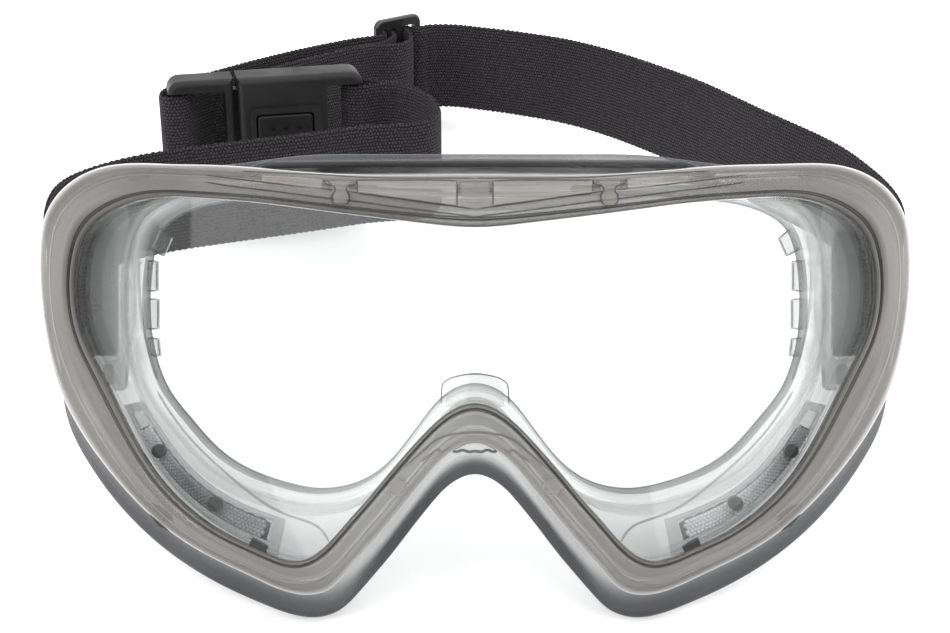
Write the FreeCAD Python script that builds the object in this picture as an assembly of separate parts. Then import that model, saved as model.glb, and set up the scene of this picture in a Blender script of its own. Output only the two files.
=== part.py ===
import FreeCAD, Part
import os, math
from FreeCAD import Vector as V

# Wide-view sports goggles with a translucent rim, a clear wrapped lens, a soft
# face seal, a head strap, a centre-release buckle and a strap slider.
#
# The goggles are drawn in their own frame first:
#   x = across the face, y = depth (0 at the front of the rim, + towards the head),
#   z = up the face.
# The webbing and the buckle are drawn in a flat frame (x across, y along the
# strap plane, z across the webbing), which is then tilted to the strap's slope.
# At the end everything leans back by LEAN, so that the goggles stand on the two
# cheek lobes of the face seal and on the strap slider, and the origin moves to
# the bottom centre of the bounding box.

# ---------------------------------------------------------------- dimensions
R_RIM = 125.0          # wrap radius of the rim's front face
R_SEAL = 187.0         # wrap radius of the face seal
SEAL_DEPTH = 41.0      # depth of the seal at the middle of the brow
LIP = 2.3              # thickness of the rim's front lip
LENS_FRONT = 2.85      # lens front below the rim's front face
LENS_T = 2.0           # lens thickness
LENS_A = 0.62          # lens edge, as a share of the rim's width
RIM_DEPTH = 10.0       # depth of the rim's outer wall
WALL_A = 0.80          # inner face of the rim's outer wall, share of the width
COLLAR_D0, COLLAR_D1 = 7.1, 10.2   # soft body's collar, depth from the rim face
WALL_T = 2.2           # soft body's wall
WEB_W = 25.0           # webbing width
WEB_T = 1.3            # webbing thickness
LOOP_T = 1.1           # webbing thickness where it is folded tight
STRAP_TILT = 24.0      # slope of the strap plane against the depth axis
STRAP_Y, STRAP_Z = 48.0, 4.6       # where the strap plane starts
BUCKLE_C = (-54.35, 106.18)        # buckle centre in the flat frame
BUCKLE_E = (-0.9757, -0.2193)      # from the socket to the plug
BUCKLE_H = 33.0        # buckle height across the webbing
SLIDER_C = (-22.7, 166.95)         # slider centre in the flat frame
SLIDER_D = (0.766, 0.643)          # along the webbing at the slider
LEAN = 35.81           # how far the goggles lean back at rest
ORIGIN = (-0.247, 94.453, -75.002)           # bottom centre of the box, before the move

# half outlines from the top centre down to the nose, (x, z)
RIM = [(0, 25.0), (14.2, 25.1), (30.4, 25.9), (41.9, 27.2), (53.6, 28.0), (63.0, 28.6), (73.1, 28.1), (80.1, 25.1), (84.6, 20.5), (86.3, 14.1), (86.2, 5.2), (85.0, -2.6), (83.4, -8.9), (79.2, -17.7), (72.6, -26.3), (64.5, -34.3), (60.1, -37.8), (53.6, -41.9), (44.8, -45.8), (36.8, -48.8), (31.9, -50.1), (28.4, -50.0), (25.6, -48.2), (22.6, -45.0), (17.5, -39.1), (12.0, -32.4), (7.9, -27.4), (4.2, -23.9), (0, -22.4)]
OPENING = [(0, 15.8), (8.8, 16.5), (25.1, 18.6), (41.9, 20.9), (53.6, 21.9), (63.0, 21.7), (70.0, 19.3), (74.3, 15.8), (76.3, 11.2), (77.0, 5.1), (76.2, -1.0), (73.6, -6.4), (68.6, -14.6), (66.0, -19.0), (61.2, -26.6), (56.0, -32.4), (47.9, -38.3), (39.1, -42.1), (34.0, -43.5), (30.7, -43.6), (28.2, -42.4), (25.8, -40.0), (19.9, -33.3), (14.2, -26.5), (9.2, -20.9), (4.6, -16.9), (0, -15.3)]
FACE = [(0, 24.2), (20.1, 24.4), (40.8, 24.4), (50.3, 23.6), (58.1, 22.1), (64.2, 18.5), (66.9, 11.7), (67.6, 3.4), (67.3, -2.8), (66.1, -8.6), (63.0, -15.6), (57.0, -22.6), (52.4, -27.3), (45.4, -31.4), (37.6, -33.9), (29.9, -34.8), (22.5, -33.0), (18.6, -30.6), (14.9, -26.8), (10.2, -20.6), (6.6, -16.4), (3.4, -14.3), (0, -13.6)]
SEAL = [(0, 32.5), (20.1, 32.6), (36.8, 32.4), (48.1, 31.2), (59.6, 30.2), (70.6, 28.0), (80.4, 23.4), (85.2, 17.2), (87.6, 7.7), (88.6, -2.9), (88.3, -11.3), (86.7, -21.5), (83.3, -28.3), (78.9, -34.4), (73.3, -40.5), (66.5, -46.3), (57.6, -52.0), (49.7, -55.8), (41.7, -58.8), (36.5, -60.2), (32.7, -60.7), (29.3, -60.2), (26.1, -58.2), (21.4, -53.2), (16.6, -47.5), (11.7, -41.1), (7.8, -36.4), (4.0, -32.9), (0, -31.6)]
# corner, side and cheek landmarks, as indices into the lists above
MARKS = {"RIM": (7, 10, 20), "OPENING": (6, 9, 19), "FACE": (5, 7, 15), "SEAL": (6, 9, 20)}
SPANS = (7, 3, 9, 8)   # stations between landmarks
SHORT_STRAP = [(-82.05, 50.5), (-86.0, 51.9), (-90.3, 54.9), (-93.0, 60.8), (-93.8, 69.5), (-92.2, 78.8), (-86.5, 87.5), (-77.0, 95.2), (-66.0, 100.6), (-52.0, 105.8), (-36.5, 111.6), (-24.0, 116.0), (-14.8, 117.8), (-10.2, 121.6), (-9.0, 128.0), (-10.8, 137.0), (-15.6, 144.6), (-22.4, 149.2), (-26.0, 149.9)]
LONG_STRAP = [(82.05, 50.5), (86.0, 51.9), (90.3, 54.9), (92.8, 60.8), (93.2, 69.5), (91.6, 79.0), (88.8, 89.5), (84.6, 102.5), (77.0, 117.5), (68.7, 132.6), (59.4, 150.0), (49.0, 165.0), (38.0, 178.6), (26.0, 189.6), (16.5, 195.2)]
FREE_SPAN = [(16.0, 195.5), (8.0, 199.4), (0.0, 202.6), (-7.0, 204.9), (-12.9, 205.8)]

# ------------------------------------------------------------------ helpers
def rim_y(x):
    return R_RIM - math.sqrt(R_RIM * R_RIM - min(abs(x), R_RIM - 1) ** 2)

def seal_y(x):
    return SEAL_DEPTH + R_SEAL - math.sqrt(R_SEAL * R_SEAL - x * x)

def spaced(points, n):
    """n points along a smooth line through points, without the last one."""
    c = Part.BSplineCurve()
    c.interpolate([V(p[0], p[1], 0) for p in points])
    return [(q.x, q.y) for q in c.toShape().discretize(Number=n + 1)[:-1]]

def stations(points, marks):
    """Half outline resampled between its landmarks, then mirrored to a full ring."""
    c = Part.BSplineCurve()
    full = [(-x, z) for x, z in points[1:][::-1]] + list(points)
    c.interpolate([V(x, z, 0) for x, z in full])
    at = [0] + list(marks) + [len(points) - 1]
    half = []
    for k, n in enumerate(SPANS):
        a = c.parameter(V(points[at[k]][0], points[at[k]][1], 0))
        b = c.parameter(V(points[at[k + 1]][0], points[at[k + 1]][1], 0)) if k < len(SPANS) - 1 else c.LastParameter
        e = c.toShape(a, b)
        q = [(p.x, p.y) for p in e.discretize(Number=n + 1)]
        if math.hypot(q[0][0] - points[at[k]][0], q[0][1] - points[at[k]][1]) > 0.01:
            q.reverse()
        half += q[:-1]
    half.append(points[-1])
    half[0] = (0.0, points[0][1])
    return half + [(-x, z) for x, z in half[1:-1][::-1]]

O = stations(OPENING, MARKS["OPENING"])
P = stations(RIM, MARKS["RIM"])
F = stations(FACE, MARKS["FACE"])
S = stations(SEAL, MARKS["SEAL"])
N = len(O)
HALF = N // 2

def outward(ring, d):
    """Ring offset by d away from its inside."""
    out = []
    for i in range(N):
        a, b = ring[i - 1], ring[(i + 1) % N]
        tx, tz = b[0] - a[0], b[1] - a[1]
        t = math.hypot(tx, tz) or 1.0
        out.append((ring[i][0] - tz / t * d, ring[i][1] + tx / t * d))
    return out

def rim_track(a, d):
    """Track on the rim's section: a from the opening (0) to the outer edge (1), d deep."""
    out = []
    for (ox, oz), (px, pz) in zip(O, P):
        x, z = ox + (px - ox) * a, oz + (pz - oz) * a
        out.append(V(x, rim_y(x) + d, z))
    return out

F_OUT = outward(F, WALL_T)
C_IN = [(o[0] + (p[0] - o[0]) * 0.10, o[1] + (p[1] - o[1]) * 0.10) for o, p in zip(O, P)]

def shelf(r, d, ring=None):
    """Track on the front-facing wall of the soft body: r from the collar (0) to the face opening (1)."""
    out = []
    for (ax, az), (bx, bz) in zip(C_IN, ring or F):
        x, z = ax + (bx - ax) * r, az + (bz - az) * r
        out.append(V(x, rim_y(x) + d, z))
    return out

def seal_track(ring, d):
    return [V(x, seal_y(x) + d, z) for x, z in ring]

KNOTS = [0.0]
for i in range(N):
    j = (i + 1) % N
    KNOTS.append(KNOTS[-1] + math.hypot(P[j][0] - P[i][0], P[j][1] - P[i][1]) + 0.6)

def closed(track):
    c = Part.BSplineCurve()
    c.interpolate(Points=track, PeriodicFlag=True, Parameters=KNOTS)
    return c

def solid_of(faces, tol=1e-3):
    sh = Part.makeCompound(faces)
    sh.sewShape(tol)
    sh = Part.Shell(sh.Faces) if not sh.Shells else sh.Shells[0]
    so = Part.Solid(sh)
    if so.Volume < 0:
        so.reverse()
    return so

def ring_solid(tracks):
    """Closed ring whose section's corners run along the given tracks."""
    curves = [closed(t) for t in tracks]
    cuts = [KNOTS[i] for i in (0, 6, 11, 20, HALF, N - 20, N - 11, N - 6, N)]
    faces = []
    for lo, hi in zip(cuts[:-1], cuts[1:]):
        edges = [c.toShape(lo, hi) for c in curves]
        for k in range(len(edges)):
            faces.append(Part.makeRuledSurface(edges[k], edges[(k + 1) % len(edges)], 1))
    return solid_of(faces)

def strip_solid(tracks, i0, i1):
    """Part of a ring between two stations (fractions allowed), four corners to its section."""
    edges = []
    for t in tracks:
        c = closed(t)
        edges.append(c.toShape(knot(i0), knot(i1)))
    faces = [Part.makeRuledSurface(edges[k], edges[(k + 1) % 4]) for k in range(4)]
    for end in (0, 1):
        p = [e.valueAt(e.FirstParameter if end == 0 else e.LastParameter) for e in edges]
        faces.append(Part.makeRuledSurface(Part.makeLine(p[0], p[1]), Part.makeLine(p[3], p[2])))
    return solid_of(faces)

def knot(i):
    k = int(math.floor(i))
    return KNOTS[k] + (KNOTS[k + 1] - KNOTS[k]) * (i - k)

def mirror(shape):
    return shape.mirror(V(0, 0, 0), V(1, 0, 0))

def near_station(ring, x, z):
    return min(range(HALF + 1), key=lambda i: math.hypot(ring[i][0] - x, ring[i][1] - z))

def box(x0, x1, y0, y1, z0, z1):
    return Part.makeBox(x1 - x0, y1 - y0, z1 - z0, V(x0, y0, z0))

def fillet(shape, r, pick):
    edges = [e for e in shape.Edges if pick(e)]
    try:
        out = shape.makeFillet(r, edges)
        if out.isValid() and out.Solids:
            return out
    except Exception:
        pass
    return shape

# --------------------------------------------------- flat frame (strap plane)
TILT = FreeCAD.Placement(V(0, STRAP_Y, STRAP_Z), FreeCAD.Rotation(V(1, 0, 0), STRAP_TILT))
COS = math.cos(math.radians(STRAP_TILT))

def flat(points):
    """(x, depth) to the flat frame's (x, y)."""
    return [(x, (y - STRAP_Y) / COS) for x, y in points]

def tilted(shape):
    out = shape.copy()
    out.Placement = TILT.multiply(out.Placement)
    return out

def spline(points, periodic=False):
    c = Part.BSplineCurve()
    c.interpolate(Points=[V(x, y, 0) for x, y in points], PeriodicFlag=periodic)
    return c

def web(points, t=WEB_T, w=WEB_W, n=None):
    """Webbing along an open line, in the flat frame."""
    c = spline(points)
    e = c.toShape()
    n = n or max(16, int(e.Length / 4.5))
    left, right = [], []
    for k in range(n + 1):
        u = e.getParameterByLength(e.Length * k / n)
        p, d = e.valueAt(u), e.tangentAt(u)
        left.append((p.x - d.y * t / 2, p.y + d.x * t / 2))
        right.append((p.x + d.y * t / 2, p.y - d.x * t / 2))
    a, b = spline(left).toShape(), spline(right).toShape()
    ends = [Part.makeLine(V(*left[0], 0), V(*right[0], 0)), Part.makeLine(V(*left[-1], 0), V(*right[-1], 0))]
    wire = Part.Wire(Part.__sortEdges__([a, b] + ends))
    so = Part.Face(wire).extrude(V(0, 0, w))
    so.translate(V(0, 0, -w / 2))
    return so

def loop(points, t=LOOP_T, w=WEB_W, n=48):
    """Webbing folded into a closed loop, in the flat frame."""
    c = spline(points, True)
    e = c.toShape()
    inner, outer = [], []
    for k in range(n):
        u = e.getParameterByLength(e.Length * k / n)
        p, d = e.valueAt(u), e.tangentAt(u)
        inner.append((p.x - d.y * t / 2, p.y + d.x * t / 2))
        outer.append((p.x + d.y * t / 2, p.y - d.x * t / 2))
    wires = [Part.Wire(spline(q, True).toShape()) for q in (inner, outer)]
    faces = sorted((Part.Face(q) for q in wires), key=lambda f: -f.Area)
    so = faces[0].cut(faces[1]).extrude(V(0, 0, w))
    so.translate(V(0, 0, -w / 2))
    return so

def at_buckle(shape):
    """Buckle frame (x from socket to plug, y towards the front, z across the webbing) to the flat frame."""
    out = shape.copy()
    rot = FreeCAD.Rotation(V(BUCKLE_E[0], BUCKLE_E[1], 0), V(-BUCKLE_E[1], BUCKLE_E[0], 0), V(0, 0, 1), "ZXY")
    out.Placement = FreeCAD.Placement(V(BUCKLE_C[0], BUCKLE_C[1], 0), rot).multiply(out.Placement)
    return out

def b2f(s, t):
    """Buckle frame point to the flat frame."""
    return (BUCKLE_C[0] + BUCKLE_E[0] * s - BUCKLE_E[1] * t, BUCKLE_C[1] + BUCKLE_E[1] * s + BUCKLE_E[0] * t)

def s2f(d, t):
    """Slider frame point (d along the webbing, t towards the front) to the flat frame."""
    return (SLIDER_C[0] + SLIDER_D[0] * d + SLIDER_D[1] * t, SLIDER_C[1] + SLIDER_D[1] * d - SLIDER_D[0] * t)

parts = {}

# ------------------------------------------------------------------ the rim
parts["front_bezel"] = ring_solid([
    rim_track(0.00, 0.9), rim_track(0.12, 0.0), rim_track(0.66, 0.0), rim_track(0.90, 1.3),
    rim_track(1.00, 4.2), rim_track(1.00, RIM_DEPTH), rim_track(WALL_A, RIM_DEPTH),
    rim_track(WALL_A, LIP), rim_track(0.00, LIP)])

# the lens: a cylindrical shell cut to the outline of the rebate
edge = rim_track(LENS_A, 0)
prism_wire = Part.Wire(closed([V(p.x, 0, p.z) for p in edge]).toShape())
prism = Part.Face(prism_wire).extrude(V(0, 90, 0))
prism.translate(V(0, -20, 0))
def cyl(d):
    return Part.makeCylinder(R_RIM, 140, V(0, R_RIM + d, -75), V(0, 0, 1))
shell = cyl(LENS_FRONT).cut(cyl(LENS_FRONT + LENS_T))
shell = shell.common(box(-100, 100, -10, R_RIM - 25, -80, 70))
parts["lens"] = prism.common(shell)

G0 = LENS_FRONT + LENS_T + 0.2
parts["lens_gasket"] = ring_solid([
    rim_track(0.34, G0), rim_track(0.58, G0), rim_track(0.58, G0 + 1.75), rim_track(0.34, G0 + 1.75)])

# lugs that hold the lens edge against the rim's outer wall
def lug(x, z, span, a0=LENS_A + 0.03, a1=WALL_A - 0.02, d0=2.7, d1=6.8):
    i = near_station(P, x, z)
    s = strip_solid([rim_track(a0, d0), rim_track(a1, d0), rim_track(a1, d1), rim_track(a0, d1)], i - span, i + span)
    return s
up = lug(65.5, 28.6, 0.8)
low = lug(62.0, -36.5, 0.9)
low2 = lug(40.0, -47.6, 0.6)
parts["lens_lugs_upper"] = Part.makeCompound([up, mirror(up)])
parts["lens_lugs_lower"] = Part.makeCompound([low, mirror(low), low2, mirror(low2)])
post = lug(25.0, 25.6, 0.45)
parts["brow_posts"] = Part.makeCompound([post, mirror(post)])
peg = Part.makeCylinder(1.5, 2.0, V(13.6, rim_y(13.6) - 0.9, -30.2), V(0, 1, 0))
peg = peg.cut(parts["front_bezel"])
peg = peg.Solids[0] if len(peg.Solids) > 1 else peg
parts["nose_pegs"] = Part.makeCompound([peg, mirror(peg)])
# centre clip: a block behind the lip at the brow
clip = box(-3.1, 3.1, 2.75, 6.6, 22.1, 23.05)
parts["brow_clip"] = fillet(clip, 0.3, lambda e: True)
# nose tab: a rounded plate behind the lens at the top of the nose arch
tabw = Part.Wire(Part.__sortEdges__([
    Part.makeLine(V(-5.4, 0, -16.2), V(5.4, 0, -16.2)),
    Part.makeLine(V(5.4, 0, -16.2), V(4.7, 0, -11.8)),
    Part.Arc(V(4.7, 0, -11.8), V(0, 0, -10.1), V(-4.7, 0, -11.8)).toShape(),
    Part.makeLine(V(-4.7, 0, -11.8), V(-5.4, 0, -16.2))]))
tab = Part.Face(tabw).extrude(V(0, 1.5, 0))
tab.translate(V(0, 5.2, 0))
parts["nose_tab"] = tab.cut(parts["lens_gasket"])
if len(parts["nose_tab"].Solids) > 1:
    parts["nose_tab"] = max(parts["nose_tab"].Solids, key=lambda s: s.Volume)

# ------------------------------------------------------------ the soft body
D1, D2 = COLLAR_D1, COLLAR_D1 + WALL_T
waist_in, waist_out = shelf(1.0, D1), [V(x, rim_y(x) + D2, z) for x, z in F_OUT]
body = ring_solid([
    rim_track(0.10, COLLAR_D0), rim_track(0.70, COLLAR_D0), rim_track(0.74, D2),
    waist_out, seal_track(F_OUT, -WALL_T), seal_track(S, -1.5), seal_track(S, -0.1),
    seal_track(F, 0.0), waist_in, rim_track(0.10, D1)])

# lower vents: a window in the front-facing wall on each cheek, a mesh in it and a cover behind it
v0 = near_station(O, 68.6, -14.6) + 0.3
v1 = near_station(O, 35.5, -43.2)
win = strip_solid([shelf(0.10, D1 - 1.5), shelf(0.55, D1 - 1.5), shelf(0.55, D2 + 2.5), shelf(0.10, D2 + 2.5)], v0, v1)
mesh = strip_solid([shelf(0.13, D1 + 0.5), shelf(0.52, D1 + 0.5), shelf(0.52, D1 + 1.3), shelf(0.13, D1 + 1.3)], v0 + 0.08, v1 - 0.08)
cover = strip_solid([shelf(-0.18, D2 + 2.0), shelf(0.58, D2 + 2.0), shelf(0.58, D2 + 3.1), shelf(-0.18, D2 + 3.1)], v0 - 0.25, v1 + 0.25)
body = body.cut(win).cut(mirror(win))
# brow vent: a window in the top wall, a mesh in it and a raised cover above it
WT = 24.4
body = body.cut(box(-30, 30, 18, 31, WT - 2.5, WT + 4.0))
parts["soft_body"] = body
parts["brow_vent_mesh"] = box(-29.8, 29.8, 18.2, 30.8, WT + 0.7, WT + 1.5)
cov = box(-44, 44, 13.6, 36.2, WT + 3.3, WT + 4.7)
cov = fillet(cov, 3.0, lambda e: abs(e.tangentAt(e.FirstParameter).z) > 0.9)
for sx in (-34.5, 34.5):
    for y in (16.3, 33.0):
        f = Part.makeCylinder(1.4, 1.0, V(sx, y, WT + 2.5), V(0, 0, 1))
        cov = cov.fuse(f)
parts["brow_vent_cover"] = cov.removeSplitter()
parts["lower_vent_mesh_right"], parts["lower_vent_mesh_left"] = mesh, mirror(mesh)
parts["lower_vent_cover_right"], parts["lower_vent_cover_left"] = cover, mirror(cover)
pegs = []
for x, z in ((48.8, -35.0), (60.2, -25.6)):
    y = rim_y(x) + D1 - 0.35
    pegs.append(Part.makeCylinder(1.3, 2.0, V(x, y - 2.3, z), V(0, 1, 0)))
parts["vent_pegs"] = Part.makeCompound(pegs + [mirror(p) for p in pegs])

# --------------------------------------------------------- strap anchorages
# a wing of two bosses and an inner rail in the pocket beside the body, with a flat bar between them
BX, BY, TX, TY = 77.6, 46.6, 0.955, 0.297      # bar centre and direction (right side)
def wing(s0, s1, t0, t1, z0, z1):
    b = box(s0, s1, t0, t1, z0, z1)
    m = FreeCAD.Placement(V(BX, BY, 0), FreeCAD.Rotation(V(0, 0, 1), math.degrees(math.atan2(TY, TX))))
    b.Placement = m.multiply(b.Placement)
    return b
bar = wing(-3.8, 3.8, -1.0, 1.0, -8.7, 17.9)
bar = fillet(bar, 0.8, lambda e: abs(e.tangentAt(e.FirstParameter).z) > 0.9)
hi = fillet(wing(-7.0, 5.4, -2.1, 2.1, 17.95, 22.5), 1.2, lambda e: True)
lo = fillet(wing(-7.0, 5.4, -2.1, 2.1, -15.0, -8.75), 1.2, lambda e: True)
rail = wing(-7.0, -5.5, -1.6, 1.6, -12.0, 21.0)
bracket = hi.fuse(lo).fuse(rail)
arm = wing(-7.6, -5.6, -6.5, 0.0, 18.5, 21.5).fuse(wing(-7.6, -5.6, -6.5, 0.0, -13.5, -9.5))
bracket = bracket.fuse(arm).cut(body).removeSplitter()
if len(bracket.Solids) > 1:
    bracket = max(bracket.Solids, key=lambda s: s.Volume)
parts["strap_bracket_right"], parts["strap_bracket_left"] = bracket, mirror(bracket)
parts["strap_bar_right"], parts["strap_bar_left"] = bar, mirror(bar)

# ------------------------------------------------------------------ webbing
def racetrack(s, t, n=8):
    """Rounded loop of half length s and half height t round the anchor bar."""
    pts = []
    for k in range(n):
        a = -math.pi / 2 + math.pi * k / (n - 1)
        pts.append((s - t + t * math.cos(a), t * math.sin(a)))
    for k in range(n):
        a = math.pi / 2 + math.pi * k / (n - 1)
        pts.append((-(s - t) + t * math.cos(a), t * math.sin(a)))
    return pts
ring2 = loop(racetrack(3.8 + 0.75, 1.0 + 0.75))
m = FreeCAD.Placement(V(BX, BY, STRAP_Z), FreeCAD.Rotation(V(0, 0, 1), math.degrees(math.atan2(TY, TX))))
ring2.Placement = m.multiply(ring2.Placement)
anchor_right, anchor_left = ring2, mirror(ring2)

def fused(a, b):
    out = a.fuse(b)
    if len(out.Solids) != 1:
        print("fuse left", len(out.Solids), "solids")
    clean = out.removeSplitter()
    return clean if clean.isValid() else out

# short strap: left anchor, round to the front of the buckle, and back to the socket's bar
bc = b2f(-23.4, 0)
srib = web(flat(SHORT_STRAP))
sl = [b2f(-24.8 + a, b) for a, b in racetrack(4.4, 3.3)]
socket_loop = loop(sl)
short = fused(fused(tilted(srib), tilted(socket_loop)), anchor_left)
parts["short_strap"] = short
# long strap: right anchor, round the back of the head to the slider
long_ = fused(tilted(web(flat(LONG_STRAP))), anchor_right)
parts["long_strap"] = long_
parts["strap_free_span"] = tilted(web(flat(FREE_SPAN), n=12))
weave = [s2f(d, t) for d, t in ((9.6, 2.35), (8.0, 2.35), (6.3, 2.1), (4.55, -0.1), (3.1, -2.8), (0, -3.8), (-3.1, -2.8), (-4.55, -0.1), (-6.3, 2.1), (-8.0, 2.35), (-9.6, 2.35))]
parts["strap_weave"] = tilted(web(weave, t=1.15, n=26))
end_loop = [s2f(d, t) for d, t in ((-14.6, 10.3), (-12.2, 12.6), (-8.8, 13.4), (-5.2, 12.2), (-1.8, 8.9), (0.9, 4.8), (2.1, 1.5), (1.75, -1.3), (0, -2.15), (-1.75, -1.3), (-2.4, 1.2), (-4.2, 4.2), (-7.8, 7.0), (-11.6, 8.4))]
parts["slider_end_loop"] = tilted(loop(end_loop, t=1.0))
# webbing round the plug's bar: from the rear, round the bar, and back out through its window
pl = [b2f(s, t) for s, t in ((20.4, -11.4), (23.6, -7.4), (25.9, -3.6), (26.6, 0.0), (25.4, 2.7), (23.0, 3.2), (20.6, 2.0), (19.3, -1.0), (18.2, -4.4), (16.0, -7.6), (12.6, -10.2))]
parts["plug_strap_loop"] = tilted(web(pl, n=34))
s0 = pl[0]; s1 = pl[-1]
def gap(p, q, d):
    k = d / math.hypot(q[0] - p[0], q[1] - p[1])
    return (p[0] + (q[0] - p[0]) * k, p[1] + (q[1] - p[1]) * k)
fb = flat([(-66.8, 162.5), (-58.5, 171.0), (-49.5, 179.2), (-40.0, 186.6), (-33.0, 191.2)])
back = [gap(s0, fb[0], 0.35)] + fb + [gap(weave[-1], fb[-1], 0.35)]
ff = flat([(-58.5, 158.4), (-51.0, 166.4), (-42.5, 174.6), (-34.0, 181.6)])
fe = (end_loop[0][0] - 0.55, end_loop[0][1] - 0.2)
front = [gap(s1, ff[0], 0.35)] + ff + [gap(fe, ff[-1], 0.45)]
parts["strap_strand_back"] = tilted(web(back))
parts["strap_strand_front"] = tilted(web(front))

def tack(x, y, dx, dy, off, side=1, w=1.3, t=0.35, h=23.0):
    """A row of stitches lying on the webbing at (x, y), webbing running along (dx, dy)."""
    k = math.hypot(dx, dy)
    dx, dy = dx / k, dy / k
    b = box(-w / 2, w / 2, 0, t, -h / 2, h / 2)
    px, py = x - dy * off * side, y + dx * off * side
    ang = math.degrees(math.atan2(dy, dx)) + (0 if side > 0 else 180)
    b.Placement = FreeCAD.Placement(V(px, py, 0), FreeCAD.Rotation(V(0, 0, 1), ang)).multiply(b.Placement)
    return tilted(b)

def on_line(points, share):
    e = spline(points).toShape()
    u = e.getParameterByLength(e.Length * share)
    p, d = e.valueAt(u), e.tangentAt(u)
    return p.x, p.y, d.x, d.y

p = on_line(flat(SHORT_STRAP), 0.945)
parts["bar_tack_buckle"] = tack(*p, WEB_T / 2 + 0.08, 1)
p = on_line(front, 0.955)
parts["bar_tack_slider"] = tack(*p, WEB_T / 2 + 0.08, -1)
p = on_line(flat(SHORT_STRAP), 0.075)
parts["bar_tack_anchor_left"] = tack(*p, WEB_T / 2 + 0.08, 1)
p = on_line(flat(LONG_STRAP), 0.075)
parts["bar_tack_anchor_right"] = tack(*p, WEB_T / 2 + 0.08, -1)

# ------------------------------------------------------------------- buckle
H = BUCKLE_H / 2
sock = box(-25, 7.4, -5, 5, -H, H)
sock = fillet(sock, 3.2, lambda e: abs(e.tangentAt(e.FirstParameter).y) > 0.9 and e.CenterOfMass.x < -20)
sock = fillet(sock, 1.6, lambda e: abs(e.CenterOfMass.y) > 4.9)
sock = sock.cut(box(-26, -15.4, 1.9, 6, -13.4, 13.4)).cut(box(-26, -15.4, -6, -1.9, -13.4, 13.4))
sock = sock.cut(box(-21.9, -15.4, -6, 6, -13.4, 13.4))
sock = sock.cut(box(-13.4, 8, -3.1, 3.1, -13.4, 13.4))
frame = box(-13.9, 4.8, 4.9, 5.7, -8.6, 8.6)
frame = fillet(frame, 1.8, lambda e: abs(e.tangentAt(e.FirstParameter).y) > 0.9)
win = fillet(box(-11.8, 3.2, 2.0, 7, -7.0, 7.0), 1.2, lambda e: abs(e.tangentAt(e.FirstParameter).y) > 0.9)
sock = sock.fuse(frame).cut(win).removeSplitter()
parts["buckle_socket"] = tilted(at_buckle(sock))
plug = box(8.5, 25, -4.6, 4.6, -H, H)
plug = fillet(plug, 3.2, lambda e: abs(e.tangentAt(e.FirstParameter).y) > 0.9 and e.CenterOfMass.x > 20)
plug = fillet(plug, 1.5, lambda e: abs(e.CenterOfMass.y) > 4.5)
plug = plug.cut(box(10.6, 21.7, -6, 6, -13.4, 13.4))
plug = plug.cut(box(21.0, 26, 1.9, 6, -13.4, 13.4)).cut(box(21.0, 26, -6, -1.9, -13.4, 13.4))
plug = plug.fuse(box(3.2, 9.0, -2.0, 1.4, -12.9, 12.9))
for sz in (-1, 1):
    z0, z1 = sorted((sz * 8.4, sz * 12.9))
    plug = plug.fuse(box(-12.9, 4.4, -2.4, 2.4, z0, z1))
plug = plug.fuse(box(-10.6, 4.4, -2.6, -1.35, -5.6, 5.6))
parts["buckle_plug"] = tilted(at_buckle(plug.removeSplitter()))
pad = fillet(box(-11.4, 2.8, 2.6, 6.1, -6.6, 6.6), 1.0, lambda e: abs(e.tangentAt(e.FirstParameter).y) > 0.9)
pad = fillet(pad, 0.6, lambda e: e.CenterOfMass.y > 6.0)
# a flange under the socket wall keeps the button in its window; a short stem reaches for the plug's tongue
pad = pad.fuse(box(-12.6, 2.8, 1.9, 2.7, -7.6, 7.6)).fuse(box(-8.5, -2.0, 1.5, 2.7, -4.0, 4.0)).removeSplitter()
for row, (y, n) in enumerate(((3.2, 3), (0.0, 2), (-3.2, 3))):
    for k in range(n):
        x = -4.3 + (k - (n - 1) / 2) * 3.4
        pad = pad.cut(Part.makeCylinder(0.65, 1.0, V(x, 5.7, y), V(0, 1, 0)))
parts["release_button"] = tilted(at_buckle(pad))

# -------------------------------------------------------------- strap slider
sl_ = box(-8.2, 8.2, -1.0, 1.0, -16, 16)
sl_ = fillet(sl_, 2.6, lambda e: abs(e.tangentAt(e.FirstParameter).y) > 0.9)
sl_ = fillet(sl_, 0.7, lambda e: abs(e.CenterOfMass.y) > 0.9)
sl_ = sl_.cut(box(-6.05, -1.1, -3, 3, -13.2, 13.2)).cut(box(1.1, 6.05, -3, 3, -13.2, 13.2))
rot = FreeCAD.Rotation(V(SLIDER_D[0], SLIDER_D[1], 0), V(-SLIDER_D[1], SLIDER_D[0], 0), V(0, 0, 1), "ZXY")
sl_.Placement = FreeCAD.Placement(V(SLIDER_C[0], SLIDER_C[1], 0), rot).multiply(sl_.Placement)
parts["strap_slider"] = tilted(sl_)

# -------------------------------------------------- lean back, move and write
def main():
    os.makedirs("parts", exist_ok=True)
    lean = FreeCAD.Placement(V(0, 0, 0), FreeCAD.Rotation(V(1, 0, 0), -LEAN))
    move = FreeCAD.Placement(V(-ORIGIN[0], -ORIGIN[1], -ORIGIN[2]), FreeCAD.Rotation())
    both = move.multiply(lean)
    for name, shape in parts.items():
        s = shape.copy()
        if s.ShapeType == "Compound" and len(s.Solids) == 1:
            s = s.Solids[0].copy()
        s = s.transformShape(both.toMatrix(), False, False) or s
        ok = "ok" if s.isValid() else "INVALID"
        if ok != "ok" or len(s.Solids) != 1:
            print(name, ok, "solids", len(s.Solids), "volume", round(s.Volume, 1))
        s.exportStep("parts/%s.step" % name)
    print("parts written:", len(parts))

main()
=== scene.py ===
import bpy, bmesh, math, random
import numpy as np
from mathutils import Vector, Matrix

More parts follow.
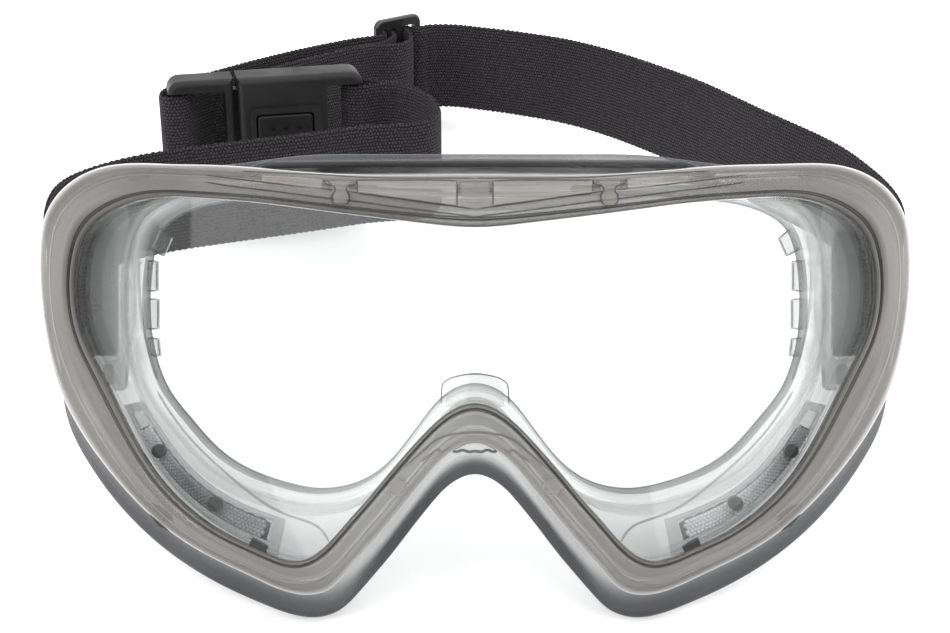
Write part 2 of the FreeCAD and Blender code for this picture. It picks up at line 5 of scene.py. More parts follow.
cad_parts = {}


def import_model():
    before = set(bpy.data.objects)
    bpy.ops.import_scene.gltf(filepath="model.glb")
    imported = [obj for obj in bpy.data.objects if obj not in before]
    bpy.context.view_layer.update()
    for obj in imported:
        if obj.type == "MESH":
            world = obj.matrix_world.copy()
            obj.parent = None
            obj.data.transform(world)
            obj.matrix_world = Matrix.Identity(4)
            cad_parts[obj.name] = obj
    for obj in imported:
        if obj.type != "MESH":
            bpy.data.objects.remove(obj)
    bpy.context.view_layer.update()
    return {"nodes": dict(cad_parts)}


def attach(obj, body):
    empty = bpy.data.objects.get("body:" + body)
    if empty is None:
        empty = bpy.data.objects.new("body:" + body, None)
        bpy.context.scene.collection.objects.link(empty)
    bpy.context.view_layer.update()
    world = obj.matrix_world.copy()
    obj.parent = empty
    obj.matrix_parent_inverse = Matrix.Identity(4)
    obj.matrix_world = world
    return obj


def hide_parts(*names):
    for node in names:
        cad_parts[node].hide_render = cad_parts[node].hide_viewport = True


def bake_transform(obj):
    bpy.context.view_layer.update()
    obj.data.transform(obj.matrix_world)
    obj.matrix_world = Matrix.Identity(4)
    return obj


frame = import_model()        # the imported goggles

rng = np.random.default_rng(7)

# ------------------------------------------------------------------ geometry of the goggles, mm
# face frame: u across, w depth from the front of the rim, v up the face
LEAN = math.radians(35.81)
ORIGIN = np.array([-0.247, 94.453, -75.002])
TILT = math.radians(24.0)
R_RIM, R_SEAL, SEAL_DEPTH = 125.0, 187.0, 41.0
D1, D2 = 10.2, 12.4
O_H = [(0.0, 15.8), (10.08, 16.65), (20.11, 17.92), (30.13, 19.32), (40.16, 20.69), (50.23, 21.68), (60.33, 22.0), (70.0, 19.3), (74.31, 15.79), (76.43, 10.66), (77.0, 5.1), (75.56, -2.7), (71.63, -9.66), (67.47, -16.49), (63.39, -23.36), (58.61, -29.76), (52.73, -35.15), (45.93, -39.33), (38.51, -42.3), (30.7, -43.6), (26.38, -40.66), (22.86, -36.68), (19.36, -32.67), (15.96, -28.59), (12.51, -24.54), (8.93, -20.62), (4.94, -17.12), (0.0, -15.3)]
P_H = [(0.0, 25.0), (11.56, 25.06), (23.12, 25.38), (34.64, 26.37), (46.14, 27.54), (57.69, 28.28), (69.24, 28.63), (80.1, 25.1), (84.99, 19.73), (86.42, 12.55), (86.2, 5.2), (84.73, -3.9), (81.92, -12.66), (77.25, -20.59), (71.35, -27.67), (64.74, -34.09), (57.4, -39.66), (49.26, -43.97), (40.7, -47.4), (31.9, -50.1), (26.69, -49.1), (22.81, -45.24), (19.22, -41.11), (15.68, -36.92), (12.22, -32.67), (8.77, -28.42), (4.98, -24.47), (0.0, -22.4)]
F_H = [(0.0, 24.2), (9.35, 24.24), (18.7, 24.37), (28.06, 24.55), (37.41, 24.53), (46.74, 23.97), (56.0, 22.68), (64.2, 18.5), (66.44, 13.8), (67.33, 8.64), (67.6, 3.4), (67.25, -3.22), (65.76, -9.69), (62.95, -15.68), (58.71, -20.78), (54.18, -25.64), (48.94, -29.67), (42.88, -32.37), (36.49, -34.15), (29.9, -34.8), (25.2, -34.01), (20.82, -32.13), (17.06, -29.2), (13.93, -25.59), (11.06, -21.77), (8.15, -17.99), (4.54, -14.88), (0.0, -13.6)]
S_H = [(0.0, 32.5), (11.69, 32.52), (23.38, 32.65), (35.07, 32.51), (46.71, 31.34), (58.35, 30.34), (69.84, 28.21), (80.4, 23.4), (85.8, 15.76), (87.77, 6.52), (88.6, -2.9), (88.2, -12.69), (86.41, -22.3), (81.61, -30.82), (75.39, -38.39), (68.17, -45.01), (60.1, -50.58), (51.39, -55.06), (42.25, -58.62), (32.7, -60.7), (27.37, -59.18), (23.24, -55.34), (19.56, -51.06), (15.97, -46.7), (12.55, -42.21), (9.02, -37.8), (5.13, -33.72), (0.0, -31.6)]
KNOTS = [0.0, 12.164, 24.328, 36.489, 48.651, 60.815, 72.971, 84.996, 92.86, 100.778, 108.731, 118.547, 128.348, 138.153, 147.969, 157.785, 167.598, 177.408, 187.228, 197.033, 202.943, 209.01, 215.088, 221.166, 227.245, 233.323, 239.393, 245.389, 251.385, 257.455, 263.533, 269.611, 275.69, 281.768, 287.835, 293.745, 303.55, 313.37, 323.179, 332.993, 342.809, 352.624, 362.429, 372.231, 382.047, 389.999, 397.918, 405.782, 417.806, 429.962, 442.126, 454.289, 466.45, 478.614, 490.778]
WEAVE = [(-13.835, 171.323), (-15.061, 170.294), (-16.524, 169.392), (-19.279, 169.952), (-22.126, 171.088), (-25.143, 169.861), (-26.875, 167.101), (-26.25, 164.101), (-26.175, 161.29), (-27.317, 160.006), (-28.543, 158.977)]
PLUG_LOOP = [(-76.754, 112.829), (-78.999, 108.225), (-80.41, 104.013), (-80.304, 100.347), (-78.541, 97.975), (-76.089, 98.014), (-74.011, 99.711), (-73.4, 102.923), (-73.073, 106.482), (-71.628, 110.087), (-68.881, 113.369)]
BACK = [(-76.536, 113.103), (-66.8, 125.336), (-58.5, 134.64), (-49.5, 143.616), (-40.0, 151.717), (-33.0, 156.752), (-28.856, 158.821)]
FRONT = [(-68.597, 113.574), (-58.5, 120.848), (-51.0, 129.605), (-42.5, 138.581), (-34.0, 146.243), (-28.21, 149.264)]
END_LOOP = [(-27.261, 149.672), (-23.943, 149.454), (-20.825, 151.027), (-18.839, 154.261), (-18.356, 158.975), (-18.924, 163.852), (-20.127, 167.151), (-22.195, 169.071), (-24.082, 168.597), (-24.876, 166.821), (-23.767, 164.488), (-23.217, 161.032), (-24.174, 156.573), (-26.184, 153.057)]
LONG = [(82.05, 2.737), (86.0, 4.269), (90.3, 7.553), (92.8, 14.011), (93.2, 23.535), (91.6, 33.934), (88.8, 45.427), (84.6, 59.658), (77.0, 76.077), (68.7, 92.606), (59.4, 111.653), (49.0, 128.072), (38.0, 142.959), (26.0, 155.0), (16.5, 161.13)]
SHORT = [(-82.05, 2.737), (-86.0, 4.269), (-90.3, 7.553), (-93.0, 14.011), (-93.8, 23.535), (-92.2, 33.715), (-86.5, 43.238), (-77.0, 51.667), (-66.0, 57.578), (-52.0, 63.27), (-36.5, 69.619), (-24.0, 74.435), (-14.8, 76.406), (-10.2, 80.565), (-9.0, 87.571), (-10.8, 97.423), (-15.6, 105.742), (-22.4, 110.777), (-26.0, 111.543)]
FREE = [(16.0, 161.459), (8.0, 165.728), (0.0, 169.231), (-7.0, 171.748), (-12.9, 172.734)]

def ring(half):
    a = np.array(half, float)
    b = a[1:-1][::-1].copy(); b[:, 0] *= -1
    return np.vstack([a, b])

O, P, F, S = ring(O_H), ring(P_H), ring(F_H), ring(S_H)
N = len(O)
KN = np.array(KNOTS)

def world(p):
    p = np.asarray(p, float).reshape(-1, 3)
    c, s = math.cos(LEAN), math.sin(LEAN)
    u, w, v = p[:, 0], p[:, 1], p[:, 2]
    return (np.stack([u, w * c + v * s, -w * s + v * c], 1) - ORIGIN) / 1000.0

def wdir(p):
    c, s = math.cos(LEAN), math.sin(LEAN)
    u, w, v = p
    return Vector((u, w * c + v * s, -w * s + v * c)).normalized()

def rim_y(x):
    x = np.clip(np.abs(x), 0, R_RIM - 1)
    return R_RIM - np.sqrt(R_RIM ** 2 - x ** 2)

def seal_y(x):
    return SEAL_DEPTH + R_SEAL - np.sqrt(R_SEAL ** 2 - np.asarray(x) ** 2)

def outward(r, d):
    t = np.roll(r, -1, 0) - np.roll(r, 1, 0)
    t /= np.linalg.norm(t, axis=1)[:, None]
    return r + np.stack([-t[:, 1], t[:, 0]], 1) * d

def periodic_matrix(t):
    """Weights of a periodic cubic spline over the stations at parameters t."""
    h = np.diff(KN)
    A = np.zeros((N, N)); B = np.zeros((N, N))
    for i in range(N):
        hm, hp = h[i - 1], h[i]
        A[i, (i - 1) % N] += hm; A[i, i] += 2 * (hm + hp); A[i, (i + 1) % N] += hp
        B[i, (i - 1) % N] += 6 / hm; B[i, i] -= 6 / hm + 6 / hp; B[i, (i + 1) % N] += 6 / hp
    C = np.linalg.solve(A, B)
    k = np.clip(np.searchsorted(KN, t, side="right") - 1, 0, N - 1)
    a = (KN[k + 1] - t) / h[k]; b = (t - KN[k]) / h[k]
    E = np.eye(N)
    k1 = (k + 1) % N
    return a[:, None] * E[k] + b[:, None] * E[k1] + ((a ** 3 - a)[:, None] * C[k] + (b ** 3 - b)[:, None] * C[k1]) * (h[k] ** 2)[:, None] / 6

def knot_at(i):
    k = np.floor(i).astype(int)
    return KN[k] + (KN[k + 1] - KN[k]) * (i - k)

PER = 10                       # stations between two knots
STA = np.arange(N * PER) / PER
MAT = periodic_matrix(knot_at(STA))
M = len(STA)
Od, Pd, Fd, Sd = MAT @ O, MAT @ P, MAT @ F, MAT @ S
FOd = MAT @ outward(F, 2.2)
CId = Od + (Pd - Od) * 0.10

def rim(a, d):
    q = Od + (Pd - Od) * a
    return np.stack([q[:, 0], rim_y(q[:, 0]) + d, q[:, 1]], 1)

def shelf(r, d):
    q = CId + (Fd - CId) * r
    return np.stack([q[:, 0], rim_y(q[:, 0]) + d, q[:, 1]], 1)

def seal(q, d):
    return np.stack([q[:, 0], seal_y(q[:, 0]) + d, q[:, 1]], 1)

def rounded(tracks, radii, seg=3, close=True):
    """Rounds the corners of a section made of tracks; a radius of 0 keeps the corner."""
    out, tag = [], []
    n = len(tracks)
    for k in range(n):
        r = radii[k]
        B = tracks[k]
        if r <= 0 or (not close and k in (0, n - 1)):
            out.append(B); tag.append(k)
            continue
        A, C = tracks[k - 1], tracks[(k + 1) % n]
        la = np.linalg.norm(A - B, axis=1)[:, None]; lc = np.linalg.norm(C - B, axis=1)[:, None]
        p = B + (A - B) * np.minimum(r / np.maximum(la, 1e-6), 0.48)
        q = B + (C - B) * np.minimum(r / np.maximum(lc, 1e-6), 0.48)
        for j in range(seg + 1):
            t = j / seg
            out.append((1 - t) ** 2 * p + 2 * t * (1 - t) * B + t * t * q); tag.append(k)
    return out, tag

# ------------------------------------------------------------------ mesh helpers
def make(name, verts, faces, mats, smooth=True, uv=None, mat_index=None, shade=None):
    me = bpy.data.meshes.new(name)
    me.from_pydata([tuple(v) for v in verts], [], faces)
    ob = bpy.data.objects.new(name, me)
    bpy.context.scene.collection.objects.link(ob)
    for m in (mats if isinstance(mats, (list, tuple)) else [mats]):
        me.materials.append(m)
    if mat_index is not None:
        me.polygons.foreach_set("material_index", mat_index)
    if uv is not None:
        layer = me.uv_layers.new(name="UVMap")
        idx = np.zeros(len(me.loops), int); me.loops.foreach_get("vertex_index", idx)
        layer.data.foreach_set("uv", np.asarray(uv, float)[idx].reshape(-1))
    if smooth:
        me.polygons.foreach_set("use_smooth", [True] * len(me.polygons))
    if shade is not None:
        at = me.color_attributes.new(name="shade", type="FLOAT_COLOR", domain="POINT")
        a = np.ones((len(verts), 4)); a[:, :3] = np.asarray(shade, float).reshape(len(verts), -1)[:, :3]
        at.data.foreach_set("color", a.reshape(-1))
    me.validate(); me.update()
    return ob

def recalc(ob):
    bm = bmesh.new(); bm.from_mesh(ob.data)
    bmesh.ops.recalc_face_normals(bm, faces=bm.faces)
    bm.to_mesh(ob.data); bm.free()
    return ob

def sharp(ob, angle=35):
    """Keeps hard corners crisp while the rest shades smooth."""
    bm = bmesh.new(); bm.from_mesh(ob.data)
    lim = math.radians(angle)
    for e in bm.edges:
        if len(e.link_faces) == 2 and e.calc_face_angle(0) > lim:
            e.smooth = False
    bm.to_mesh(ob.data); bm.free()
    return ob

def ring_mesh(name, tracks, mats, body="goggles", lo=None, hi=None, index=None, angle=35, shade=None):
    """Mesh of a section swept round the rim; lo and hi are station limits for a strip."""
    K = len(tracks)
    pts = np.stack(tracks, 1)
    whole = lo is None
    if not whole:
        sel = [j % M for j in range(int(round(lo * PER)), int(round(hi * PER)) + 1)]
        pts = pts[sel]
    m = len(pts)
    v = world(pts.reshape(-1, 3))
    faces, mi = [], []
    for j in range(m if whole else m - 1):
        j2 = (j + 1) % m
        for k in range(K):
            k2 = (k + 1) % K
            faces.append((j * K + k, j2 * K + k, j2 * K + k2, j * K + k2)); mi.append(index[k] if index else 0)
    if not whole:
        faces.append(tuple(range(K))); faces.append(tuple((m - 1) * K + k for k in range(K))[::-1]); mi += [0, 0]
    if shade is not None:
        shade = (shade if whole else shade[sel]).reshape(-1, 3)
    ob = make(name, v, faces, mats, mat_index=mi, shade=shade)
    recalc(ob); sharp(ob, angle)
    if body:
        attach(ob, body)
    return ob

def spline3(c, n_per=None, step=0.5):
    """Natural cubic spline through the control rows c (any width); returns samples and each sample's control index."""
    c = np.asarray(c, float)
    t = np.concatenate([[0], np.cumsum(np.sqrt(np.linalg.norm(np.diff(c[:, :3], axis=0), axis=1)) + 1e-6)])
    n = len(c); h = np.diff(t)
    A = np.zeros((n, n)); B = np.zeros((n, n)); A[0, 0] = A[-1, -1] = 1
    for i in range(1, n - 1):
        A[i, i - 1], A[i, i], A[i, i + 1] = h[i - 1], 2 * (h[i - 1] + h[i]), h[i]
        B[i, i - 1], B[i, i], B[i, i + 1] = 6 / h[i - 1], -6 / h[i - 1] - 6 / h[i], 6 / h[i]
    m2 = np.linalg.solve(A, B @ c)
    fine = np.concatenate([np.linspace(t[i], t[i + 1], 24, endpoint=False) for i in range(n - 1)] + [[t[-1]]])
    def ev(x):
        k = np.clip(np.searchsorted(t, x, side="right") - 1, 0, n - 2)
        a = ((t[k + 1] - x) / h[k])[:, None]; b = ((x - t[k]) / h[k])[:, None]; hh = (h[k] ** 2)[:, None]
        return a * c[k] + b * c[k + 1] + ((a ** 3 - a) * m2[k] + (b ** 3 - b) * m2[k + 1]) * hh / 6
    f = ev(fine)
    s = np.concatenate([[0], np.cumsum(np.linalg.norm(np.diff(f[:, :3], axis=0), axis=1))])
    m = max(2, int(round(s[-1] / step)) + 1)
    x = np.interp(np.linspace(0, s[-1], m), s, fine)
    return ev(x), np.interp(x, t, np.arange(n)), np.linspace(0, s[-1], m)

# ------------------------------------------------------------------ materials
def new_mat(name):
    m = bpy.data.materials.new(name); m.use_nodes = True
    nt = m.node_tree; nt.nodes.clear()
    out = nt.nodes.new("ShaderNodeOutputMaterial")
    b = nt.nodes.new("ShaderNodeBsdfPrincipled")
    nt.links.new(b.outputs[0], out.inputs[0])
    return m, nt, b, out

def node(nt, kind, **kw):
    n = nt.nodes.new(kind)
    for k, v in kw.items():
        if k.startswith("in_"):
            n.inputs[int(k[3:])].default_value = v
        else:
            setattr(n, k, v)
    return n

def noise(nt, scale, detail=3.0, rough=0.5, coord=None):
    t = node(nt, "ShaderNodeTexCoord")
    n = node(nt, "ShaderNodeTexNoise"); n.inputs["Scale"].default_value = scale
    n.inputs["Detail"].default_value = detail; n.inputs["Roughness"].default_value = rough
    nt.links.new(t.outputs[coord or "Object"], n.inputs["Vector"])
    return n.outputs["Fac"]

def mapr(nt, src, a, b, lo=0.3, hi=0.7):
    m = node(nt, "ShaderNodeMapRange")
    m.inputs[1].default_value, m.inputs[2].default_value, m.inputs[3].default_value, m.inputs[4].default_value = lo, hi, a, b
    nt.links.new(src, m.inputs[0])
    return m.outputs[0]

def mixc(nt, fac, c1, c2):
    m = node(nt, "ShaderNodeMix", data_type="RGBA")
    m.inputs[6].default_value = (*c1, 1); m.inputs[7].default_value = (*c2, 1)
    nt.links.new(fac, m.inputs[0])
    return m.outputs[2]

def bump(nt, b, src, strength, dist):
    n = node(nt, "ShaderNodeBump"); n.inputs["Strength"].default_value = strength; n.inputs["Distance"].default_value = dist
    nt.links.new(src, n.inputs["Height"]); nt.links.new(n.outputs[0], b.inputs["Normal"])
    return n

def moulded(name, c1, c2, rough=(0.32, 0.5), grain=900.0, strength=0.12, dist=0.0001, coat=0.0):
    m, nt, b, out = new_mat(name)
    nt.links.new(mixc(nt, mapr(nt, noise(nt, 60.0, 4.0), 0, 1), c1, c2), b.inputs["Base Color"])
    nt.links.new(mapr(nt, noise(nt, 140.0, 3.0), rough[0], rough[1]), b.inputs["Roughness"])
    bump(nt, b, noise(nt, grain, 3.0, 0.6), strength, dist)
    b.inputs["Coat Weight"].default_value = coat
    b.inputs["IOR"].default_value = 1.5
    return m

def clouded(name, c1, c2, face, graze, rough=(0.2, 0.35), grain=260.0, strength=0.06, blend=0.3, shaded=False, spec=0.5, streak=0.12):
    """Smoky or clear plastic: face and graze are its opacity face on and edge on, per surface."""
    m, nt, b, out = new_mat(name)
    col = mixc(nt, mapr(nt, noise(nt, 40.0, 2.0), 0, 1), c1, c2)
    nt.links.new(mapr(nt, noise(nt, 60.0, 2.0), rough[0], rough[1]), b.inputs["Roughness"])
    if strength > 0:
        bump(nt, b, noise(nt, grain, 2.0, 0.5), strength, 0.0002)
    b.inputs["IOR"].default_value = 1.45
    b.inputs["Specular IOR Level"].default_value = spec
    lw = node(nt, "ShaderNodeLayerWeight"); lw.inputs["Blend"].default_value = blend
    mr = node(nt, "ShaderNodeMapRange")
    for i, v in zip((1, 2, 3, 4), (0.0, 1.0, face, graze)):
        mr.inputs[i].default_value = v
    nt.links.new(lw.outputs["Facing"], mr.inputs[0])
    al = node(nt, "ShaderNodeMath", operation="MULTIPLY")
    nt.links.new(mr.outputs[0], al.inputs[0]); nt.links.new(mapr(nt, noise(nt, 24.0, 1.0, 0.5), 1 - streak, 1 + streak), al.inputs[1])
    alpha = al.outputs[0]
    if shaded:
        at = node(nt, "ShaderNodeVertexColor"); at.layer_name = "shade"
        sp = node(nt, "ShaderNodeSeparateColor"); nt.links.new(at.outputs[0], sp.inputs[0])
        m1 = node(nt, "ShaderNodeMath", operation="MULTIPLY"); m1.use_clamp = True
        nt.links.new(alpha, m1.inputs[0]); nt.links.new(sp.outputs[0], m1.inputs[1]); alpha = m1.outputs[0]
        # The green channel of the shade attribute multiplies the base colour: painted light and shade per vertex.
        mx = node(nt, "ShaderNodeMix", data_type="RGBA", blend_type="MULTIPLY"); mx.inputs[0].default_value = 1.0
        cb = node(nt, "ShaderNodeCombineColor")
        for i in range(3): nt.links.new(sp.outputs[1], cb.inputs[i])
        nt.links.new(col, mx.inputs[6]); nt.links.new(cb.outputs[0], mx.inputs[7]); col = mx.outputs[2]
    nt.links.new(col, b.inputs["Base Color"])
    nt.links.new(alpha, b.inputs["Alpha"])
    return m

def woven(name, c1, c2, pitch_u=0.95, pitch_v=1.3, depth=0.00022, rough=0.78, lint=0.0):
    """Knitted elastic webbing; UV is in mm, u along and v across."""
    m, nt, b, out = new_mat(name)
    uv = node(nt, "ShaderNodeUVMap"); uv.uv_map = "UVMap"
    sep = node(nt, "ShaderNodeSeparateXYZ"); nt.links.new(uv.outputs[0], sep.inputs[0])
    def math_(op, a, bb=None):
        n = node(nt, "ShaderNodeMath", operation=op)
        for i, x in enumerate((a, bb)):
            if x is None: continue
            if isinstance(x, (int, float)): n.inputs[i].default_value = x
            else: nt.links.new(x, n.inputs[i])
        return n.outputs[0]
    big = noise(nt, 750.0, 2.0, 0.6)
    vv = math_("ADD", math_("DIVIDE", sep.outputs[1], pitch_v), math_("MULTIPLY", noise(nt, 520.0, 2.0), 0.9))
    row = math_("FLOOR", vv)
    odd = math_("MULTIPLY", math_("MODULO", math_("ABSOLUTE", row), 2.0), 0.5)
    uu = math_("ADD", math_("ADD", math_("DIVIDE", sep.outputs[0], pitch_u), odd), math_("MULTIPLY", noise(nt, 640.0, 2.0), 1.3))
    ribs = math_("ABSOLUTE", math_("SINE", math_("MULTIPLY", vv, math.pi)))
    picks = math_("ABSOLUTE", math_("SINE", math_("MULTIPLY", uu, math.pi)))
    h = math_("MULTIPLY", math_("POWER", ribs, 0.7), math_("ADD", math_("MULTIPLY", picks, 0.8), 0.2))
    fuzz = math_("MULTIPLY", noise(nt, 3200.0, 2.0, 0.7), 0.35)
    hh = math_("ADD", math_("MULTIPLY", h, math_("ADD", math_("MULTIPLY", big, 0.9), 0.55)), fuzz)
    bump(nt, b, hh, 1.0, depth)
    # Colour follows the knit height: painted shade in the hollows, lighter on the raised loops.
    col = mixc(nt, mapr(nt, hh, 0, 1, 0.25, 1.15), c1, c2)
    nt.links.new(col, b.inputs["Base Color"])
    nt.links.new(mapr(nt, h, rough + 0.12, rough - 0.1, 0, 1), b.inputs["Roughness"])
    b.inputs["Sheen Weight"].default_value = 0.04
    b.inputs["Sheen Roughness"].default_value = 0.5
    b.inputs["Specular IOR Level"].default_value = 0.12
    return m

def clear_lens(name):
    m, nt, b, out = new_mat(name)
    nt.nodes.remove(b)
    tr = node(nt, "ShaderNodeBsdfTransparent"); tr.inputs[0].default_value = (0.955, 0.965, 0.965, 1)
    gl = node(nt, "ShaderNodeBsdfGlossy"); gl.inputs[0].default_value = (1, 1, 1, 1)
    nt.links.new(mapr(nt, noise(nt, 30.0, 3.0), 0.03, 0.07), gl.inputs["Roughness"])
    bn = node(nt, "ShaderNodeBump"); bn.inputs["Strength"].default_value = 0.03; bn.inputs["Distance"].default_value = 0.0002
    nt.links.new(noise(nt, 25.0, 2.0), bn.inputs["Height"]); nt.links.new(bn.outputs[0], gl.inputs["Normal"])
    fr = node(nt, "ShaderNodeLayerWeight"); fr.inputs["Blend"].default_value = 0.5
    nt.links.new(bn.outputs[0], fr.inputs["Normal"])
    pw = node(nt, "ShaderNodeMath", operation="POWER"); pw.inputs[1].default_value = 4.5
    nt.links.new(fr.outputs["Facing"], pw.inputs[0])
    ma = node(nt, "ShaderNodeMath", operation="MULTIPLY_ADD"); ma.inputs[1].default_value = 0.85; ma.inputs[2].default_value = 0.03
    nt.links.new(pw.outputs[0], ma.inputs[0])
    mx = node(nt, "ShaderNodeMixShader")
    nt.links.new(ma.outputs[0], mx.inputs[0]); nt.links.new(tr.outputs[0], mx.inputs[1]); nt.links.new(gl.outputs[0], mx.inputs[2])
    nt.links.new(mx.outputs[0], out.inputs[0])
    return m

RIM = clouded("rim_smoke", (0.128, 0.124, 0.118), (0.150, 0.145, 0.138), 0.33, 0.88, (0.10, 0.17), shaded=True, blend=0.32, strength=0.0, streak=0.05)
LENS = clear_lens("lens_clear")
SOFT = clouded("soft_clear", (0.30, 0.30, 0.292), (0.36, 0.36, 0.35), 0.10, 0.80, (0.2, 0.36), blend=0.24, shaded=True, strength=0.03, streak=0.1)
EDGE = clouded("soft_edge", (0.05, 0.05, 0.052), (0.08, 0.08, 0.08), 0.50, 0.95, (0.3, 0.45))
SEALM = clouded("seal_smoke", (0.050, 0.051, 0.055), (0.070, 0.071, 0.075), 0.66, 0.98, (0.24, 0.36), blend=0.35, shaded=True, strength=0.03, streak=0.05, spec=0.35)
GASK = clouded("gasket_grey", (0.10, 0.10, 0.10), (0.14, 0.14, 0.14), 0.30, 0.8, (0.4, 0.6))
LUG = clouded("lug_dark", (0.02, 0.02, 0.022), (0.035, 0.035, 0.037), 0.62, 0.95, (0.3, 0.5))
LINE = clouded("edge_line", (0.022, 0.021, 0.02), (0.035, 0.034, 0.033), 0.55, 0.85, (0.25, 0.45))
PANEL = clouded("window_panel", (0.30, 0.285, 0.262), (0.35, 0.335, 0.31), 0.20, 0.6, (0.15, 0.3))
POST = clouded("post_greige", (0.20, 0.19, 0.178), (0.25, 0.24, 0.225), 0.35, 0.8, (0.2, 0.35))
MESHM = clouded("vent_mesh_grey", (0.040, 0.040, 0.043), (0.095, 0.095, 0.098), 0.90, 0.98, (0.12, 0.3), grain=900.0, strength=0.3)
CELL = clouded("vent_cell_grey", (0.16, 0.16, 0.165), (0.62, 0.62, 0.625), 0.72, 0.98, (0.04, 0.12), grain=900.0, strength=0.1, spec=0.8)
TABN = clouded("nose_tab_clear", (0.34, 0.335, 0.325), (0.40, 0.395, 0.385), 0.24, 0.9, (0.12, 0.22), blend=0.3)
CREASE = clouded("crease_grey", (0.12, 0.12, 0.12), (0.17, 0.17, 0.168), 0.30, 0.85, (0.2, 0.3))
COVER = clouded("vent_cover_smoke", (0.026, 0.026, 0.028), (0.042, 0.042, 0.044), 0.80, 0.98, (0.24, 0.38), strength=0.03, spec=0.3)
LCOV = clouded("cheek_cover_clear", (0.15, 0.15, 0.152), (0.19, 0.19, 0.192), 0.20, 0.8, (0.2, 0.32))
CLIP = clouded("anchor_clear", (0.34, 0.34, 0.335), (0.42, 0.42, 0.41), 0.22, 0.8, (0.12, 0.25), blend=0.28)
TABM = clouded("tab_clear", (0.20, 0.20, 0.198), (0.26, 0.26, 0.255), 0.28, 0.92, (0.15, 0.3), blend=0.3)
WEB = woven("webbing_black", (0.0012, 0.0011, 0.0013), (0.0430, 0.0385, 0.0430), 0.78, 0.84, 0.00030)
THREAD = moulded("thread_black", (0.008, 0.008, 0.009), (0.02, 0.02, 0.021), (0.6, 0.8), grain=2500.0, strength=0.4)
BUCK = moulded("buckle_black", (0.0085, 0.0085, 0.009), (0.0135, 0.0135, 0.0145), (0.36, 0.52), grain=1300.0, strength=0.22, dist=0.00008)
PAD = moulded("pad_black", (0.004, 0.004, 0.0045), (0.007, 0.007, 0.008), (0.4, 0.6), grain=1500.0, strength=0.25)
for m_dark in (BUCK, PAD):
    for n_ in m_dark.node_tree.nodes:
        if n_.type == "BSDF_PRINCIPLED": n_.inputs["Specular IOR Level"].default_value = 0.22
SLID = moulded("slider_smoke", (0.011, 0.0108, 0.0105), (0.020, 0.0195, 0.019), (0.2, 0.34), grain=700.0, strength=0.1, coat=0.25)

def paint(node_name, m):
    o = frame["nodes"][node_name]
    o.data.materials.clear(); o.data.materials.append(m)
    return o

# ------------------------------------------------------------------ camera, light, floor
def cam_setup():
    cam = bpy.data.objects.new("camera", bpy.data.cameras.new("camera"))
    bpy.context.scene.collection.objects.link(cam)
    cam.data.lens = 1700.0 / 950.0 * 36.0
    cam.data.sensor_width = 36.0
    cam.data.clip_start, cam.data.clip_end = 0.01, 20.0
    eye = Vector(world([[0, -300.0, 0]])[0])
    fwd, up = wdir((0, 1, 0)), wdir((0, 0, 1))
    right = fwd.cross(up).normalized()
    m = Matrix((( right.x, up.x, -fwd.x, eye.x), (right.y, up.y, -fwd.y, eye.y), (right.z, up.z, -fwd.z, eye.z), (0, 0, 0, 1)))
    cam.matrix_world = m
    bpy.context.scene.camera = cam
    return cam
CAM = cam_setup()

def area(name, loc, target, size, power, col=(1, 1, 1), size_y=None):
    l = bpy.data.lights.new(name, "AREA"); l.energy = power; l.color = col; l.size = size
    if size_y: l.shape = "RECTANGLE"; l.size_y = size_y
    o = bpy.data.objects.new(name, l); bpy.context.scene.collection.objects.link(o)
    o.location = loc
    o.rotation_euler = (Vector(target) - Vector(loc)).to_track_quat("-Z", "Y").to_euler()
    return o
area("key", (-0.6, -0.8, 1.2), (0, 0.05, 0.03), 1.7, 14.0)
area("fill", (1.0, -0.4, 0.9), (0, 0.05, 0.03), 1.5, 9.0)
area("top", (0, 0.6, 1.3), (0, 0.08, 0.03), 1.8, 13.0)
area("strip_left", (-0.90, -0.56, 0.78), (-0.045, -0.02, 0.08), 0.14, 1.0, size_y=0.26)
area("strip_right", (0.95, -0.50, 0.76), (0.045, -0.02, 0.08), 0.08, 0.4, size_y=0.24)
wd = bpy.data.worlds.new("studio"); bpy.context.scene.world = wd; wd.use_nodes = True
bg = wd.node_tree.nodes["Background"]; bg.inputs[0].default_value = (1, 1, 1, 1); bg.inputs[1].default_value = 1.1
bpy.context.scene.view_settings.view_transform = "Standard"
bpy.context.scene.cycles.transparent_max_bounces = 28

fm, fnt, fb, _ = new_mat("floor_white")
fnt.links.new(mixc(fnt, mapr(fnt, noise(fnt, 6.0), 0, 1), (0.93, 0.93, 0.93), (0.95, 0.95, 0.95)), fb.inputs["Base Color"])
fb.inputs["Roughness"].default_value = 0.8; fb.inputs["Specular IOR Level"].default_value = 0.1
fl = make("floor", [(-4, -4, -0.0002), (4, -4, -0.0002), (4, 4, -0.0002), (-4, 4, -0.0002)], [(0, 1, 2, 3)], fm, smooth=False)

# ------------------------------------------------------------------ the rim
sec = [(0.00, 2.3), (0.00, 0.8), (0.025, 0.15), (0.08, -0.05), (0.125, 0.1), (0.145, 0.55), (0.185, 0.55), (0.205, 0.1),
       (0.30, -0.06), (0.40, -0.12), (0.50, -0.12), (0.60, -0.02), (0.625, 0.0), (0.665, 0.42), (0.76, 0.62), (0.88, 1.05), (0.985, 2.4), (1.065, 4.6), (1.065, 10.0), (0.80, 10.0), (0.80, 2.3)]
rad = [0.0, 0.3, 0.25, 0.3, 0.15, 0.12, 0.12, 0.15, 0.0, 0.0, 0.0, 0.0, 0.2, 0.25, 0.0, 0.6, 0.9, 1.0, 0.5, 0.4, 0.0]
tr, tag = rounded([rim(a, d) for a, d in sec], rad)
side = np.clip((np.abs(Od[:, 0]) - 60.0) / 14.0, 0, 1) * np.clip((Od[:, 1] + 20.0) / 25.0, 0, 1)   # 1 at the temples
low = np.clip((-Od[:, 1]) / 25.0, 0, 1)                                                               # 1 at the cheeks
